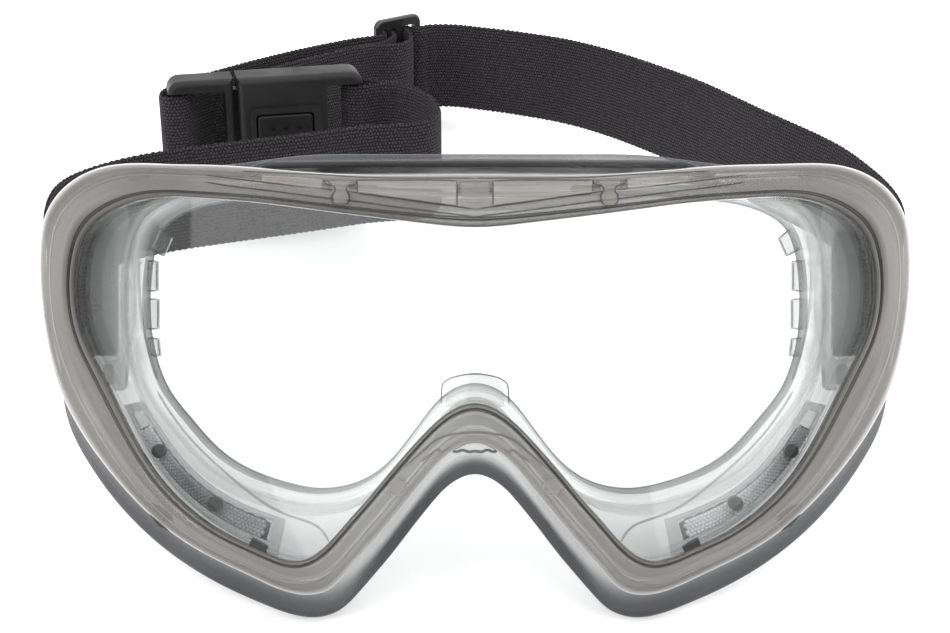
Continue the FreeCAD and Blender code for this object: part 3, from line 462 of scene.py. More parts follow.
# Per band of the rim section, the first table scales the opacity and the second the colour's brightness; the brightness
# mixes each band's own tone with painted light: a painted highlight along the ridge line (band 12) and painted shade in
# the inner groove (bands 0 to 6).
opac = {0: 2.3, 1: 2.3, 2: 2.0, 3: 1.5, 4: 2.0, 5: 2.4, 6: 2.2, 7: 1.3, 8: 0.8, 9: 0.62, 10: 0.66, 11: 0.95, 12: 0.55, 13: 1.7, 14: 1.30, 15: 1.45, 16: 1.75, 17: 2.0, 18: 2.0, 19: 1.6, 20: 1.0}
band_tone_and_painted_light = {0: 0.4, 1: 0.3, 2: 0.38, 3: 0.8, 4: 0.4, 5: 0.3, 6: 0.4, 7: 1.3, 8: 1.9, 9: 2.3, 10: 2.2, 11: 1.6, 12: 2.0, 13: 0.8, 14: 1.15, 15: 1.1, 16: 0.95, 17: 0.8, 18: 0.7, 19: 0.8, 20: 1.0}
shade = np.zeros((M, len(tr), 3))
for j, k in enumerate(tag):
    o_ = np.full(M, opac[k]); g_ = np.full(M, band_tone_and_painted_light[k])
    # At the temples the groove is made more opaque with deeper painted shade, and the outer bands are painted lighter.
    if k in (0, 1, 2, 3, 4, 5, 6): o_ = o_ + 1.0 * side; g_ = g_ * (1 - 0.45 * side)
    if k == 7: o_ = o_ + 1.2 * side; g_ = g_ * (1 - 0.62 * side)
    if k == 8: o_ = o_ + 1.1 * side; g_ = g_ * (1 - 0.50 * side)
    if k in (9, 10, 11): o_ = o_ + 0.2 * side; g_ = g_ * (1 + 0.05 * side)
    if k in (13, 14, 15, 16): o_ = o_ - 0.45 * side; g_ = g_ * (1 + 0.35 * side)
    if k in (17, 18): o_ = o_ - 0.6 * side + 0.2 * low; g_ = g_ * (1 + 0.4 * side)
    shade[:, j, 0] = o_; shade[:, j, 1] = g_
bez = ring_mesh("rim_shell", tr, RIM, angle=40, shade=shade)
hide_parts("front_bezel")

def on_rim(pts, d, body="goggles"):
    return [(x, float(rim_y(np.array([x]))[0]) + d, v) for x, v in pts]

def dense(pts, step=0.6, closed=False):
    """Smooth curve through points given as (u, w, v)."""
    c = np.array(pts, float)
    if len(c) < 3:
        n = max(2, int(np.linalg.norm(c[-1] - c[0]) / step) + 1)
        return c[0] + (c[-1] - c[0]) * np.linspace(0, 1, n)[:, None]
    if closed:
        c = np.vstack([c[-3:], c, c[:4]])
    r, i, s_ = spline3(c, step=step)
    if closed:
        r = r[(i >= 3) & (i <= len(c) - 4)]
    return r[:, :3]

def bead(name, paths, r, mat, sides=8, flat=0.6):
    """Fine raised line: a small rounded cord along each path, ends tapered."""
    V, Fc = [], []
    for p in paths:
        p = np.asarray(p, float); m = len(p)
        tg = np.gradient(p, axis=0); tg /= np.linalg.norm(tg, axis=1)[:, None]
        dn = np.tile(np.array([0.0, 1.0, 0.0]), (m, 1)); dn -= (dn * tg).sum(1)[:, None] * tg
        dn /= np.maximum(np.linalg.norm(dn, axis=1)[:, None], 1e-6)
        sd = np.cross(tg, dn)
        base = len(V)
        for j in range(m):
            k = min(1.0, (min(j, m - 1 - j) + 0.5) / 2.0)
            for q in range(sides):
                an = 2 * math.pi * q / sides
                V.append(p[j] + sd[j] * math.cos(an) * r * k + dn[j] * math.sin(an) * r * k * flat)
        for j in range(m - 1):
            for q in range(sides):
                q2 = (q + 1) % sides
                Fc.append((base + j * sides + q, base + j * sides + q2, base + (j + 1) * sides + q2, base + (j + 1) * sides + q))
        Fc.append(tuple(base + q for q in range(sides))[::-1]); Fc.append(tuple(base + (m - 1) * sides + q for q in range(sides)))
    ob = make(name, world(V), Fc, mat)
    recalc(ob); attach(ob, "goggles")
    return ob

def plate(name, top, bottom, d0, d1, mat, n=60, m=6, surf=None, r=0.35, body="goggles"):
    """Curved plate on the rim between two edge lines given as (u, v) lists; d0 to d1 deep, with rounded rims."""
    top, bottom = np.array(top, float), np.array(bottom, float)
    def res(a):
        t = np.concatenate([[0], np.cumsum(np.linalg.norm(np.diff(a, axis=0), axis=1))]); t /= t[-1]
        x = np.linspace(0, 1, n)
        return np.stack([np.interp(x, t, a[:, 0]), np.interp(x, t, a[:, 1])], 1)
    T, B = res(top), res(bottom)
    xs = 0.5 - 0.5 * np.cos(np.linspace(0, math.pi, m + 1))
    mid = (T.mean(0) + B.mean(0)) / 2
    V, Fc = [], []
    def layer(inset, d):
        q = []
        for i in range(n):
            for j in range(m + 1):
                p = T[i] * (1 - xs[j]) + B[i] * xs[j]
                e = np.array([0.0, 0.0])
                if i == 0: e += (T[1] - T[0]) / np.linalg.norm(T[1] - T[0])
                if i == n - 1: e -= (T[-1] - T[-2]) / np.linalg.norm(T[-1] - T[-2])
                if j == 0: e += (B[i] - T[i]) / max(np.linalg.norm(B[i] - T[i]), 1e-6)
                if j == m: e -= (B[i] - T[i]) / max(np.linalg.norm(B[i] - T[i]), 1e-6)
                p = p + e * inset
                w0 = float(rim_y(np.array([p[0]]))[0]) if surf is None else surf(p[0], p[1])
                q.append((p[0], w0 + d, p[1]))
        return q
    L = [layer(0.55 * r, d0), layer(0.0, d0 + 0.4 * r), layer(0.0, d1)]
    W_ = m + 1; K = n * W_
    for q in L: V += q
    g = lambda i, j, l: l * K + i * W_ + j
    for i in range(n - 1):
        for j in range(m):
            Fc.append((g(i, j, 0), g(i + 1, j, 0), g(i + 1, j + 1, 0), g(i, j + 1, 0)))
            Fc.append((g(i, j, 2), g(i, j + 1, 2), g(i + 1, j + 1, 2), g(i + 1, j, 2)))
    rimv = [(i, 0) for i in range(n)] + [(n - 1, j) for j in range(1, m + 1)] + [(i, m) for i in range(n - 2, -1, -1)] + [(0, j) for j in range(m - 1, 0, -1)]
    for a_, b_ in zip(rimv, rimv[1:] + rimv[:1]):
        for l in (0, 1):
            Fc.append((g(*a_, l), g(*b_, l), g(*b_, l + 1), g(*a_, l + 1)))
    ob = make(name, world(V), Fc, mat)
    recalc(ob); sharp(ob, 50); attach(ob, body)
    return ob

def flip(pts):
    return [(-p[0],) + tuple(p[1:]) for p in pts]

# windows, posts and edge lines of the brow bar
WIN_T = [(-20.94, 24.22), (-16.82, 24.17), (-11.49, 24.12), (-3.18, 23.91)]
WIN_B = [(-20.94, 21.91), (-16.82, 21.34), (-11.49, 20.59), (-3.18, 19.49)]
OUT_T = [(-38.33, 25.46), (-34.97, 25.2), (-31.28, 24.93), (-27.26, 24.5)]
OUT_B = [(-38.33, 24.2), (-34.97, 23.76), (-31.28, 23.15), (-27.26, 22.54)]
for nm, f_ in (("left", lambda q: q), ("right", flip)):
    o = plate("brow_window_" + nm, f_(WIN_T), f_(WIN_B), -0.32, -0.06, PANEL)
    o = plate("brow_window_outer_" + nm, f_(OUT_T), f_(OUT_B), -0.30, -0.05, PANEL, n=30)
L1 = [(-49.22, 9.9, 25.79), (-44.38, 7.94, 25.09), (-34.96, 4.79, 23.76), (-26.53, 2.65, 22.7), (-21.65, 1.69, 22.09), (-15.21, 0.73, 21.14), (-9.53, 0.16, 20.22), (-4.06, -0.13, 19.49), (0.0, -0.2, 18.96)]
L2 = [(-49.22, 9.9, 24.52), (-44.38, 7.94, 23.64), (-34.96, 4.79, 22.32), (-26.53, 2.65, 21.1), (-21.65, 1.69, 20.5), (-15.21, 0.73, 19.55), (-9.53, 0.16, 18.8), (-4.06, -0.13, 18.08), (0.0, -0.2, 17.55)]
L0 = [(-42.47, 7.24, 26.3), (-34.96, 4.79, 25.73), (-26.53, 2.65, 25.19), (-20.93, 1.57, 24.75), (-13.26, 0.51, 24.48), (-6.18, -0.05, 24.44), (0.0, -0.2, 24.42)]
paths = [dense(q) for q in (L1, L2, L0)]
KEY = [(-26.88, 2.62, 24.65), (-26.52, 2.55, 23.58), (-25.25, 2.28, 23.2), (-24.89, 2.2, 22.31), (-25.43, 2.31, 21.61), (-25.43, 2.31, 20.54), (-24.89, 2.2, 19.82), (-23.08, 1.85, 19.8), (-22.36, 1.72, 20.5), (-22.36, 1.72, 21.56), (-22.9, 1.82, 22.46), (-22.54, 1.75, 23.16), (-21.28, 1.53, 23.5), (-20.93, 1.46, 24.38)]
kp = dense(KEY, 0.35)
WO = [[(-20.92, 1.42, 24.2), (-13.25, 0.36, 24.12), (-6.17, -0.19, 24.07), (-3.17, -0.3, 23.89)], [(-20.92, 1.42, 21.9), (-16.81, 0.8, 21.32), (-11.48, 0.19, 20.57), (-3.17, -0.3, 19.48)], [(-20.92, 1.42, 24.2), (-20.92, 1.42, 21.9)], [(-3.17, -0.3, 23.89), (-3.17, -0.3, 19.48)]]
half_paths = paths + [kp] + [dense(q, 0.4) for q in WO]
both = half_paths + [np.array(flip([tuple(r) for r in q])) for q in half_paths]
bead("brow_edge_lines", both, 0.12, LINE)
CB_T = [(-2.47, 23.55), (0.0, 23.55)]; CB_B = [(-2.47, 19.49), (0.0, 18.96)]
ctop = CB_T + flip(CB_T[:1]); cbot = CB_B + flip(CB_B[:1])
o = plate("brow_centre_block", ctop, cbot, -0.42, -0.05, POST, n=16)
SL_T = [(-1.41, 20.9), (0.0, 20.9)]; SL_B = [(-1.41, 20.2), (0.0, 20.2)]
o = plate("brow_centre_slot", SL_T + flip(SL_T[:1]), SL_B + flip(SL_B[:1]), -0.52, -0.2, PANEL, n=10)
for nm, f_ in (("left", lambda q: q), ("right", flip)):
    a_ = [(-25.81, 24.12), (-22.2, 24.06)]; b_ = [(-25.08, 20.19), (-22.74, 20.16)]
    o = plate("brow_keyhole_" + nm, f_(a_), f_(b_), -0.30, -0.05, POST, n=12)

# retaining lugs behind the rim, as seen through it
def lugs(name, quads, old, d0=2.45, d1=4.6):
    for k, (t_, b_) in enumerate(quads):
        for nm, f_ in (("left", lambda z: z), ("right", flip)):
            o = plate("%s_%s_%d" % (name, nm, k + 1), f_(t_), f_(b_), d0, d1, LUG, n=10, r=0.7)
            if old and nm == "left" and k == 0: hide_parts(old)
lugs("lower_lug", (([(-61.59, -35.02), (-58.87, -35.6), (-56.4, -37.51)], [(-61.17, -37.06), (-59.29, -39.18), (-57.02, -39.97)]), ([(-40.64, -40.36), (-37.6, -41.87)], [(-41.21, -41.67), (-38.36, -43.17)])), "lens_lugs_lower")
lugs("upper_lug", (([(-65.87, 28.11), (-60.96, 28.23)], [(-65.43, 25.44), (-60.96, 25.79)]), ([(-38.36, 25.72), (-34.22, 25.26)], [(-38.36, 24.81), (-34.22, 24.35)])), "lens_lugs_upper")

# ------------------------------------------------------------------ the soft body and face seal
def soft_body():
    mid = lambda a, t: a[0] * (1 - t) + a[1] * t
    so = outward_dense(Sd, 0.0)
    q25 = FOd * 0.72 + Sd * 0.28
    q60 = FOd * 0.35 + Sd * 0.65
    wall_o0 = np.stack([FOd[:, 0], rim_y(FOd[:, 0]) + D2, FOd[:, 1]], 1)
    wall_o1 = seal(FOd, -2.2)
    wall_i0 = shelf(1.0, D1)
    wall_i1 = seal(Fd, 0.0)
    lerp = lambda a, b, t: a + (b - a) * t
    tracks = [
        (rim(0.10, 7.1), 0.3, "c"),             # 0
        (rim(0.70, 7.1), 0.3, "c"),             # 1
        (rim(0.74, D2), 0.8, "c"),              # 2
        (shelf(0.10, D2), 0, "wo0"),            # 3 window edge, rear side
        (shelf(0.55, D2), 0, "wo1"),            # 4
        (wall_o0, 0.9, "c"),                    # 5
        (lerp(wall_o0, wall_o1, 0.20), 0, "bo0"),
        (lerp(wall_o0, wall_o1, 0.65), 0, "bo1"),
        (seal(FOd, -3.0), 3.0, "s"),            # into the seal
        (seal(q60, -2.4), 2.0, "s"),
        (seal(outward_dense(Sd, -1.2), -1.9), 0.6, "s"),
        (seal(Sd, -1.3), 0.5, "s"),
        (seal(Sd, 0.0), 0.5, "s"),
        (seal(outward_dense(Sd, -1.8), -0.25), 0.6, "s"),
        (seal(q60, -0.35), 1.0, "s"),
        (seal(Fd * 0.9 + Sd * 0.1, 0.05), 0.8, "s"),
        (seal(Fd, 0.2), 0.5, "e"),
        (seal(outward_dense(Fd, -0.35), -0.6), 0.3, "e"),
        (seal(Fd, -1.3), 0.4, "e"),
        (lerp(wall_i0, wall_i1, 0.65), 0, "bi1"),
        (lerp(wall_i0, wall_i1, 0.20), 0, "bi0"),
        (wall_i0, 0.9, "c"),
        (shelf(0.55, D1), 0, "wi1"),
        (shelf(0.10, D1), 0, "wi0"),
        (rim(0.10, D1), 0.5, "c"),
    ]
    tr, tag = rounded([t[0] for t in tracks], [t[1] for t in tracks])
    lab = [tracks[k][2] for k in tag]
    K = len(tr)
    where = {l: lab.index(l) for l in ("wo0", "wo1", "bo0", "bo1", "bi1", "bi0", "wi1", "wi0")}
    pts = np.stack(tr, 1)
    v = world(pts.reshape(-1, 3))
    faces, mi = [], []
    def in_low(j):
        s = STA[j]
        return 13.3 <= s < 18.0 - 1e-9 or N - 18.0 <= s < N - 13.3 - 1e-9
    def in_top(j):
        s = STA[j]
        return s < 3.1 - 1e-9 or s >= N - 3.1
    lowj = [j for j in range(M) if in_low(j)]; topj = [j for j in range(M) if in_top(j)]
    for j in range(M):
        j2 = (j + 1) % M
        for k in range(K):
            k2 = (k + 1) % K
            if in_low(j) and (k == where["wo0"] or k == where["wi1"]): continue
            if in_top(j) and (k == where["bo0"] or k == where["bi1"]): continue
            faces.append((j * K + k, j2 * K + k, j2 * K + k2, j * K + k2))
            l = lab[k]
            mi.append(1 if l == "s" else 2 if l == "e" else 0)
    def wall(js, a, b, c, d):
        """Closes a window: outer rows a to b, inner rows c to d."""
        for j in js:
            j2 = (j + 1) % M
            faces.append((j * K + a, j2 * K + a, j2 * K + d, j * K + d)); mi.append(0)
            faces.append((j * K + b, j2 * K + b, j2 * K + c, j * K + c)); mi.append(0)
        s = set(js)
        for j in js:
            if (j - 1) % M not in s:
                faces.append((j * K + a, j * K + b, j * K + c, j * K + d)); mi.append(0)
            if (j + 1) % M not in s:
                j2 = (j + 1) % M
                faces.append((j2 * K + a, j2 * K + b, j2 * K + c, j2 * K + d)); mi.append(0)
    wall(lowj, where["wo0"], where["wo1"], where["wi1"], where["wi0"])
    wall(topj, where["bo0"], where["bo1"], where["bi1"], where["bi0"])
    temple = np.clip((np.abs(Fd[:, 0]) - 54.0) / 8.0, 0, 1) * np.clip((Fd[:, 1] + 16.0) / 8.0, 0, 1) * np.clip((26.0 - Fd[:, 1]) / 6.0, 0, 1)
    lowm = np.clip((-Fd[:, 1]) / 25.0, 0, 1)
    nose = np.clip((22.0 - np.abs(Fd[:, 0])) / 8.0, 0, 1) * np.clip((-Fd[:, 1]) / 10.0, 0, 1)
    sh = np.ones((M, K, 3))
    for k in range(K):
        # Seal: opacity rises from the clear inner tracks to the dark outer flange; toward the cheeks and the nose it is
        # made more opaque and painted darker (painted shade), and the clear inner tracks are made lighter.
        if lab[k] == "s":
            far = {8: 0.10, 9: 0.35, 10: 1.0, 11: 1.15, 12: 1.1, 13: 0.9, 14: 0.30, 15: 0.08}[tag[k]]
            sh[:, k, 0] = far * (0.85 + 0.35 * lowm + 0.3 * nose)
            sh[:, k, 1] = (1.3 - 0.35 * lowm - 0.2 * nose) * (1.6 if far < 0.2 else 1.2 if far < 0.5 else 1.0)
        # Painted light: at the temples the body's shelf is made more opaque and painted about 1.3 times brighter, a lit
        # haze over the strap behind it.
        elif lab[k] in ("wo0", "wo1", "wi0", "wi1", "bi0", "bo0") or k in (where["wo1"] + 1, where["wi1"] - 1):
            sh[:, k, 0] = 1.0 + 0.9 * temple
            sh[:, k, 1] = 1.0 + 0.3 * temple
    ob = make("soft_body_and_seal", v, faces, [SOFT, SEALM, EDGE], mat_index=mi, shade=sh)
    recalc(ob); sharp(ob, 50)
    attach(ob, "goggles"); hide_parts("soft_body")
    return ob

def outward_dense(r, d):
    t = np.roll(r, -3, 0) - np.roll(r, 3, 0)
    t /= np.maximum(np.linalg.norm(t, axis=1), 1e-9)[:, None]
    return r + np.stack([-t[:, 1], t[:, 0]], 1) * d
BODY = soft_body()

def on_shelf(r, d, st):
    """Point on the front-facing wall of the body: r across it, st the station."""
    x = (st * PER) % M; j = int(math.floor(x)) % M; t = x - math.floor(x); k = (j + 1) % M
    q = (CId[j] + (Fd[j] - CId[j]) * r) * (1 - t) + (CId[k] + (Fd[k] - CId[k]) * r) * t
    return np.array([q[0], float(rim_y(np.array([q[0]]))[0]) + d, q[1]])

def vent(side):
    """Mesh strip with rows of small raised cells, scalloped along its upper edge."""
    V, Fc = [], []
    a0, a1 = 13.75, 17.95
    n = 96; rr = (0.115, 0.15, 0.24, 0.34, 0.44, 0.50, 0.535)
    st = np.linspace(a0, a1, n)
    def P_(r, d, t):
        q = on_shelf(r, d, t)
        return np.array([q[0] * side, q[1], q[2]])
    L = []
    for layer, dd in ((0, D1 + 0.15), (1, D1 + 1.1)):
        g = []
        for i, t in enumerate(st):
            ends = min(i, n - 1 - i)
            for j, r in enumerate(rr):
                r2 = r
                if j >= 5: r2 = r - 0.012 * (1 + math.sin(i * 0.9)) - 0.05 * max(0, 1 - ends / 4.0)
                e = 0.12 if j in (0, len(rr) - 1) or ends == 0 else 0.0
                g.append(len(V)); V.append(P_(r2, dd + (e if layer == 0 else 0), t))
        L.append(np.array(g).reshape(n, len(rr)))
    A_, B_ = L
    m_ = len(rr)
    for i in range(n - 1):
        for j in range(m_ - 1):
            Fc.append((A_[i, j], A_[i + 1, j], A_[i + 1, j + 1], A_[i, j + 1])); Fc.append((B_[i, j], B_[i, j + 1], B_[i + 1, j + 1], B_[i + 1, j]))
        for j in (0, m_ - 1):
            Fc.append((A_[i, j], A_[i + 1, j], B_[i + 1, j], B_[i, j]))
    for i in (0, n - 1):
        for j in range(m_ - 1):
            Fc.append((A_[i, j], A_[i, j + 1], B_[i, j + 1], B_[i, j]))
    base = make("vent_mesh_" + ("right" if side > 0 else "left"), world(V), [tuple(int(x) for x in f) for f in Fc], MESHM)
    recalc(base); sharp(base, 45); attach(base, "goggles")
    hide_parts("lower_vent_mesh_right" if side > 0 else "lower_vent_mesh_left")
    V, Fc = [], []
    for row, r in enumerate((0.16, 0.235, 0.31, 0.385, 0.455)):
        for i in range(40):
            t = a0 + 0.09 + (i + 0.5 * (row % 2)) * (a1 - a0 - 0.18) / 40
            c = P_(r, D1 + 0.2, t)
            t1 = P_(r, D1 + 0.2, t + 0.05) - c; t1 /= np.linalg.norm(t1)
            t2 = P_(r + 0.03, D1 + 0.2, t) - c; t2 -= t1 * t1.dot(t2); t2 /= np.linalg.norm(t2)
            nn = np.cross(t1, t2); nn *= -1 if nn[1] > 0 else 1
            b0 = len(V)
            for lv, (ra, hh) in enumerate(((0.52, 0.0), (0.46, 0.28), (0.24, 0.50))):
                for q in range(8):
                    an = 2 * math.pi * q / 8
                    V.append(c + (t1 * math.cos(an) + t2 * math.sin(an)) * ra + nn * hh)
            V.append(c + nn * 0.56)
            for lv in range(2):
                for q in range(8):
                    q2 = (q + 1) % 8
                    Fc.append((b0 + lv * 8 + q, b0 + lv * 8 + q2, b0 + lv * 8 + 8 + q2, b0 + lv * 8 + 8 + q))
            for q in range(8): Fc.append((b0 + 16 + q, b0 + 16 + (q + 1) % 8, b0 + 24))
            Fc.append(tuple(b0 + q for q in range(8))[::-1])
    o = make("vent_cells_" + ("right" if side > 0 else "left"), world(V), Fc, CELL)
    recalc(o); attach(o, "goggles")
vent(1); vent(-1)

# moulded tabs along the face opening, crease lines inside the body, clear ribs beside the anchors
TABS = ([(-67.24, 48.5, 11.38), (-65.19, 48.5, 11.38), (-65.19, 48.5, 5.23), (-67.24, 48.5, 5.23)], [(-67.24, 48.5, 3.59), (-64.98, 48.5, 3.59), (-64.98, 48.5, -2.56), (-67.24, 48.5, -2.56)], [(-66.94, 48.0, -4.4), (-64.89, 48.0, -4.4), (-64.48, 48.0, -8.09), (-66.32, 48.0, -8.09)], [(-64.48, 48.0, 17.91), (-62.23, 48.0, 16.07), (-63.87, 48.0, 12.38), (-66.53, 48.0, 13.82)])
for k, q in enumerate(TABS):
    for nm, f_ in (("left", lambda z: z), ("right", flip)):
        z = f_([(c_[0], c_[2]) for c_ in q])
        o = plate("opening_tab_%s_%d" % (nm, k + 1), [z[0], z[1]], [z[3], z[2]], 0.0, 2.4, TABM, n=8, m=6, surf=lambda u, v, w_=q[0][1]: w_, r=0.7)
        zz = [(c_[0], q[0][1] - 0.1, c_[1]) for c_ in z]
        bead("opening_tab_edge_%s_%d" % (nm, k + 1), [dense([zz[i], zz[(i + 1) % 4]], 0.4) for i in (0, 1, 2)], 0.15, LINE)
CR = [(-60.93, 25.7, -14.27), (-58.17, 24.21, -18.21), (-54.41, 22.32, -22.66), (-48.31, 19.56, -28.1), (-40.02, 16.43, -34.16), (-34.24, 14.63, -36.92), (-28.93, 13.24, -38.79), (-26.86, 12.77, -41.49)]
CR2 = [(-62.0, 26.31, -6.81), (-60.29, 25.35, -13.11), (-57.12, 23.66, -17.8), (-51.95, 21.16, -23.33), (-45.52, 18.43, -28.38), (-38.08, 15.79, -32.6), (-30.44, 13.61, -35.33), (-22.57, 11.9, -36.24)]
cp = [dense(q, 0.6) for q in (CR,)]
bead("body_crease", cp + [np.array(flip([tuple(r) for r in q])) for q in cp], 0.22, CREASE)
RIBS = ([(-70.82, 44.0, 17.1), (-69.2, 44.0, 11.03), (-68.8, 44.0, 3.34), (-69.41, 44.0, -3.74), (-71.43, 44.0, -9.21)], [(-67.38, 45.0, 16.34), (-68.19, 45.0, 11.06), (-67.99, 45.0, 3.35), (-66.77, 45.0, -4.77), (-64.33, 45.0, -12.89)], [(-72.55, 44.5, 10.84), (-67.28, 44.5, 10.84)])
rp = [dense(q, 0.6) for q in RIBS]
bead("side_ribs", rp + [np.array(flip([tuple(r) for r in q])) for q in rp], 0.28, CREASE)
TO = [(-6.1, 5.05, -15.7), (-6.01, 5.04, -13.55), (-5.74, 5.03, -12.11), (-4.66, 4.99, -11.21), (-2.69, 4.93, -10.58), (0.0, 4.9, -10.31)]
tb_ = TO + flip(TO[:-1])[::-1]
bead("nose_tab_edge", [dense(tb_, 0.4)], 0.14, LINE)
# nose: arch line, ragged parting edge
NA = [(-13.69, 2.35, -27.66), (-11.55, 2.13, -25.86), (-9.06, 1.93, -23.71), (-6.57, 1.77, -21.75), (-3.55, 1.65, -20.85), (0.0, 1.6, -20.58)]
NB = [(-9.91, 6.39, -26.22), (-8.11, 6.26, -24.95), (-6.84, 6.19, -24.04), (-5.76, 6.13, -24.4), (-4.68, 6.09, -23.86), (-3.42, 6.05, -24.39), (-2.34, 6.02, -24.03), (-1.08, 6.0, -24.39), (0.0, 6.0, -24.21)]
for nm, q, r_ in (("nose_arch_line", NA, 0.2), ("nose_parting_edge", NB, 0.26)):
    c_ = q + flip(q[:-1])[::-1]
    bead(nm, [dense(c_, 0.5)], r_, LINE)

def hump():
    """Cover over the brow vent: a low dark shell with sloping ends and a rounded front edge."""
    V, Fc = [], []
    n = 80
    xs_ = np.linspace(-46.0, 46.0, n)
    sect = [(13.9, 0.0), (13.5, 0.5), (13.6, 1.1), (14.4, 1.55), (20.0, 1.75), (30.0, 1.75), (35.2, 1.5), (36.1, 1.0), (36.2, 0.4), (35.8, 0.0), (25.0, -0.1)]
    for x in xs_:
        e = min(1.0, (46.0 - abs(x)) / 8.0)
        lift = 27.55 - 3.2 * (1 - e) ** 1.6 - 0.4 * (x / 46.0) ** 2
        for w_, h_ in sect:
            k = 0.3 + 0.7 * min(1.0, (46.0 - abs(x)) / 2.0 + 0.05)
            V.append((x, 24.9 + (w_ - 24.9) * (0.80 + 0.20 * e), lift + h_ * k))
    m_ = len(sect)
    for i in range(n - 1):
        for j in range(m_):
            j2 = (j + 1) % m_
            Fc.append((i * m_ + j, (i + 1) * m_ + j, (i + 1) * m_ + j2, i * m_ + j2))
    Fc.append(tuple(range(m_))); Fc.append(tuple((n - 1) * m_ + j for j in range(m_))[::-1])
    o = make("brow_vent_shell", world(V), Fc, COVER)
    recalc(o); sharp(o, 50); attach(o, "goggles"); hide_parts("brow_vent_cover")
    ft = []
    for sx in (-34.5, 34.5):
        for y_ in (16.6, 33.0):
            ft.append(dense([(sx, y_, 26.95), (sx, y_, 27.7)], 0.2))
    bead("brow_vent_feet", ft, 1.2, COVER, sides=16, flat=1.0)
hump()

# ------------------------------------------------------------------ webbing
def flat3(p, n=0.0):
    x, y = p
    return (x, 48.0 + y * math.cos(TILT) - n * math.sin(TILT), 4.6 + y * math.sin(TILT) + n * math.cos(TILT))
NT = (0.0, -math.sin(TILT), math.cos(TILT))
NV = (0.0, 0.0, 1.0)

def ribbon(name, rows, s, body=None, T=1.2, Wd=25.0, mat=None, phase=0.0, span=None, ends=(True, True)):
    """Webbing mesh along sampled rows (centre xyz, width direction xyz), mm; s is the length along."""
    c, wv = rows[:, :3], rows[:, 3:6]
    tg = np.gradient(c, axis=0); tg /= np.linalg.norm(tg, axis=1)[:, None]
    wv = wv - (wv * tg).sum(1)[:, None] * tg; wv /= np.linalg.norm(wv, axis=1)[:, None]
    nn = np.cross(tg, wv)
    nx = 22
    xs = np.linspace(-1, 1, nx + 1)
    th = T / 2 * np.clip(1 - np.clip((np.abs(xs) - 0.93) / 0.07, 0, 1) ** 2 * 0.6, 0.2, 1)
    sel = 0.17 * np.sin(2 * math.pi * (s + phase) / 1.5 + 0.5 * np.sin((s + phase) * 1.7))[:, None] * (np.abs(xs) > 0.9)[None]
    half = Wd / 2
    top = c[:, None] + wv[:, None] * (xs[None, :, None] * half + (np.sign(xs) * sel)[..., None]) + nn[:, None] * th[None, :, None]
    bot = c[:, None] + wv[:, None] * (xs[None, :, None] * half + (np.sign(xs) * sel)[..., None]) - nn[:, None] * th[None, :, None]
    sec = np.concatenate([top, bot[:, ::-1]], 1)
    if span:
        sec = sec[span[0]:span[1] + 1]; s = s[span[0]:span[1] + 1]
    K = sec.shape[1]; m = len(sec)
    v = world(sec.reshape(-1, 3))
    uv = np.zeros((m, K, 2)); uv[..., 0] = (s + phase)[:, None]
    uv[..., 1] = np.concatenate([xs * half, xs[::-1] * half])[None] + 40.0
    faces = []
    for j in range(m - 1):
        for k in range(K):
            k2 = (k + 1) % K
            faces.append((j * K + k, (j + 1) * K + k, (j + 1) * K + k2, j * K + k2))
    if True:
        for j, rev in [x for x, on in zip(((0, False), (m - 1, True)), ends) if on]:
            for k in range(nx):
                q = (j * K + k, j * K + k + 1, j * K + K - 2 - k, j * K + K - 1 - k)
                faces.append(q[::-1] if rev else q)
    ob = make(name, v, faces, mat or WEB, uv=uv.reshape(-1, 2))
    recalc(ob); sharp(ob, 60)
    if body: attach(ob, body)
    return ob

BX, BY, TX, TY = 77.6, 46.6, 0.955, 0.297
def bar_pt(s, f, side):
    """Point beside the anchor bar: s outward along it, f towards the front."""
    return (side * (BX + TX * s + TY * f), BY + TY * s - TX * f, 4.6)

PULL = (1.0, 0.985, 0.968, 0.966, 0.973, 0.985, 0.995, 1.0)   # keeps the strap close round the seal
def anchor(side, path):
    """Start of a strap: short tail sewn on the inner side, round the bar, and out along the path."""
    ctl = []
    def add(p, n): ctl.append((*p, *n))
    def mixn(t):
        v = np.array(NV) * (1 - t) + np.array(NT) * t
        return tuple(v / np.linalg.norm(v))
    path = [(x * PULL[min(k, len(PULL) - 1)], y) for k, (x, y) in enumerate(path)]
    f = [np.array(flat3(p)) for p in path]
    for k, t in ((3, 1.0), (2, 0.9), (1, 0.6)):
        d = f[k + 1] - f[k - 1]; d /= np.linalg.norm(d)
        nrm = np.cross(d, np.array(NT)); nrm /= np.linalg.norm(nrm)
        if nrm[0] * side > 0: nrm = -nrm              # towards the head
        add(tuple(f[k] + nrm * (1.45 if k < 3 else 1.38)), mixn(t))
    add(bar_pt(3.6, -2.2, side), mixn(0.25)); add(bar_pt(0.2, -1.75, side), NV); add(bar_pt(-2.6, -1.7, side), NV)
    add(bar_pt(-4.2, -1.05, side), NV); add(bar_pt(-4.55, 0.0, side), NV); add(bar_pt(-4.2, 1.05, side), NV)
    add(bar_pt(-2.6, 1.7, side), NV); add(bar_pt(0.2, 1.72, side), NV); add(bar_pt(3.6, 1.2, side), mixn(0.2))
    n0 = len(ctl)
    for k, p in enumerate(f[1:]):
        add(p, mixn((0.6, 0.92, 1.0)[min(k, 2)]))
    return ctl, n0

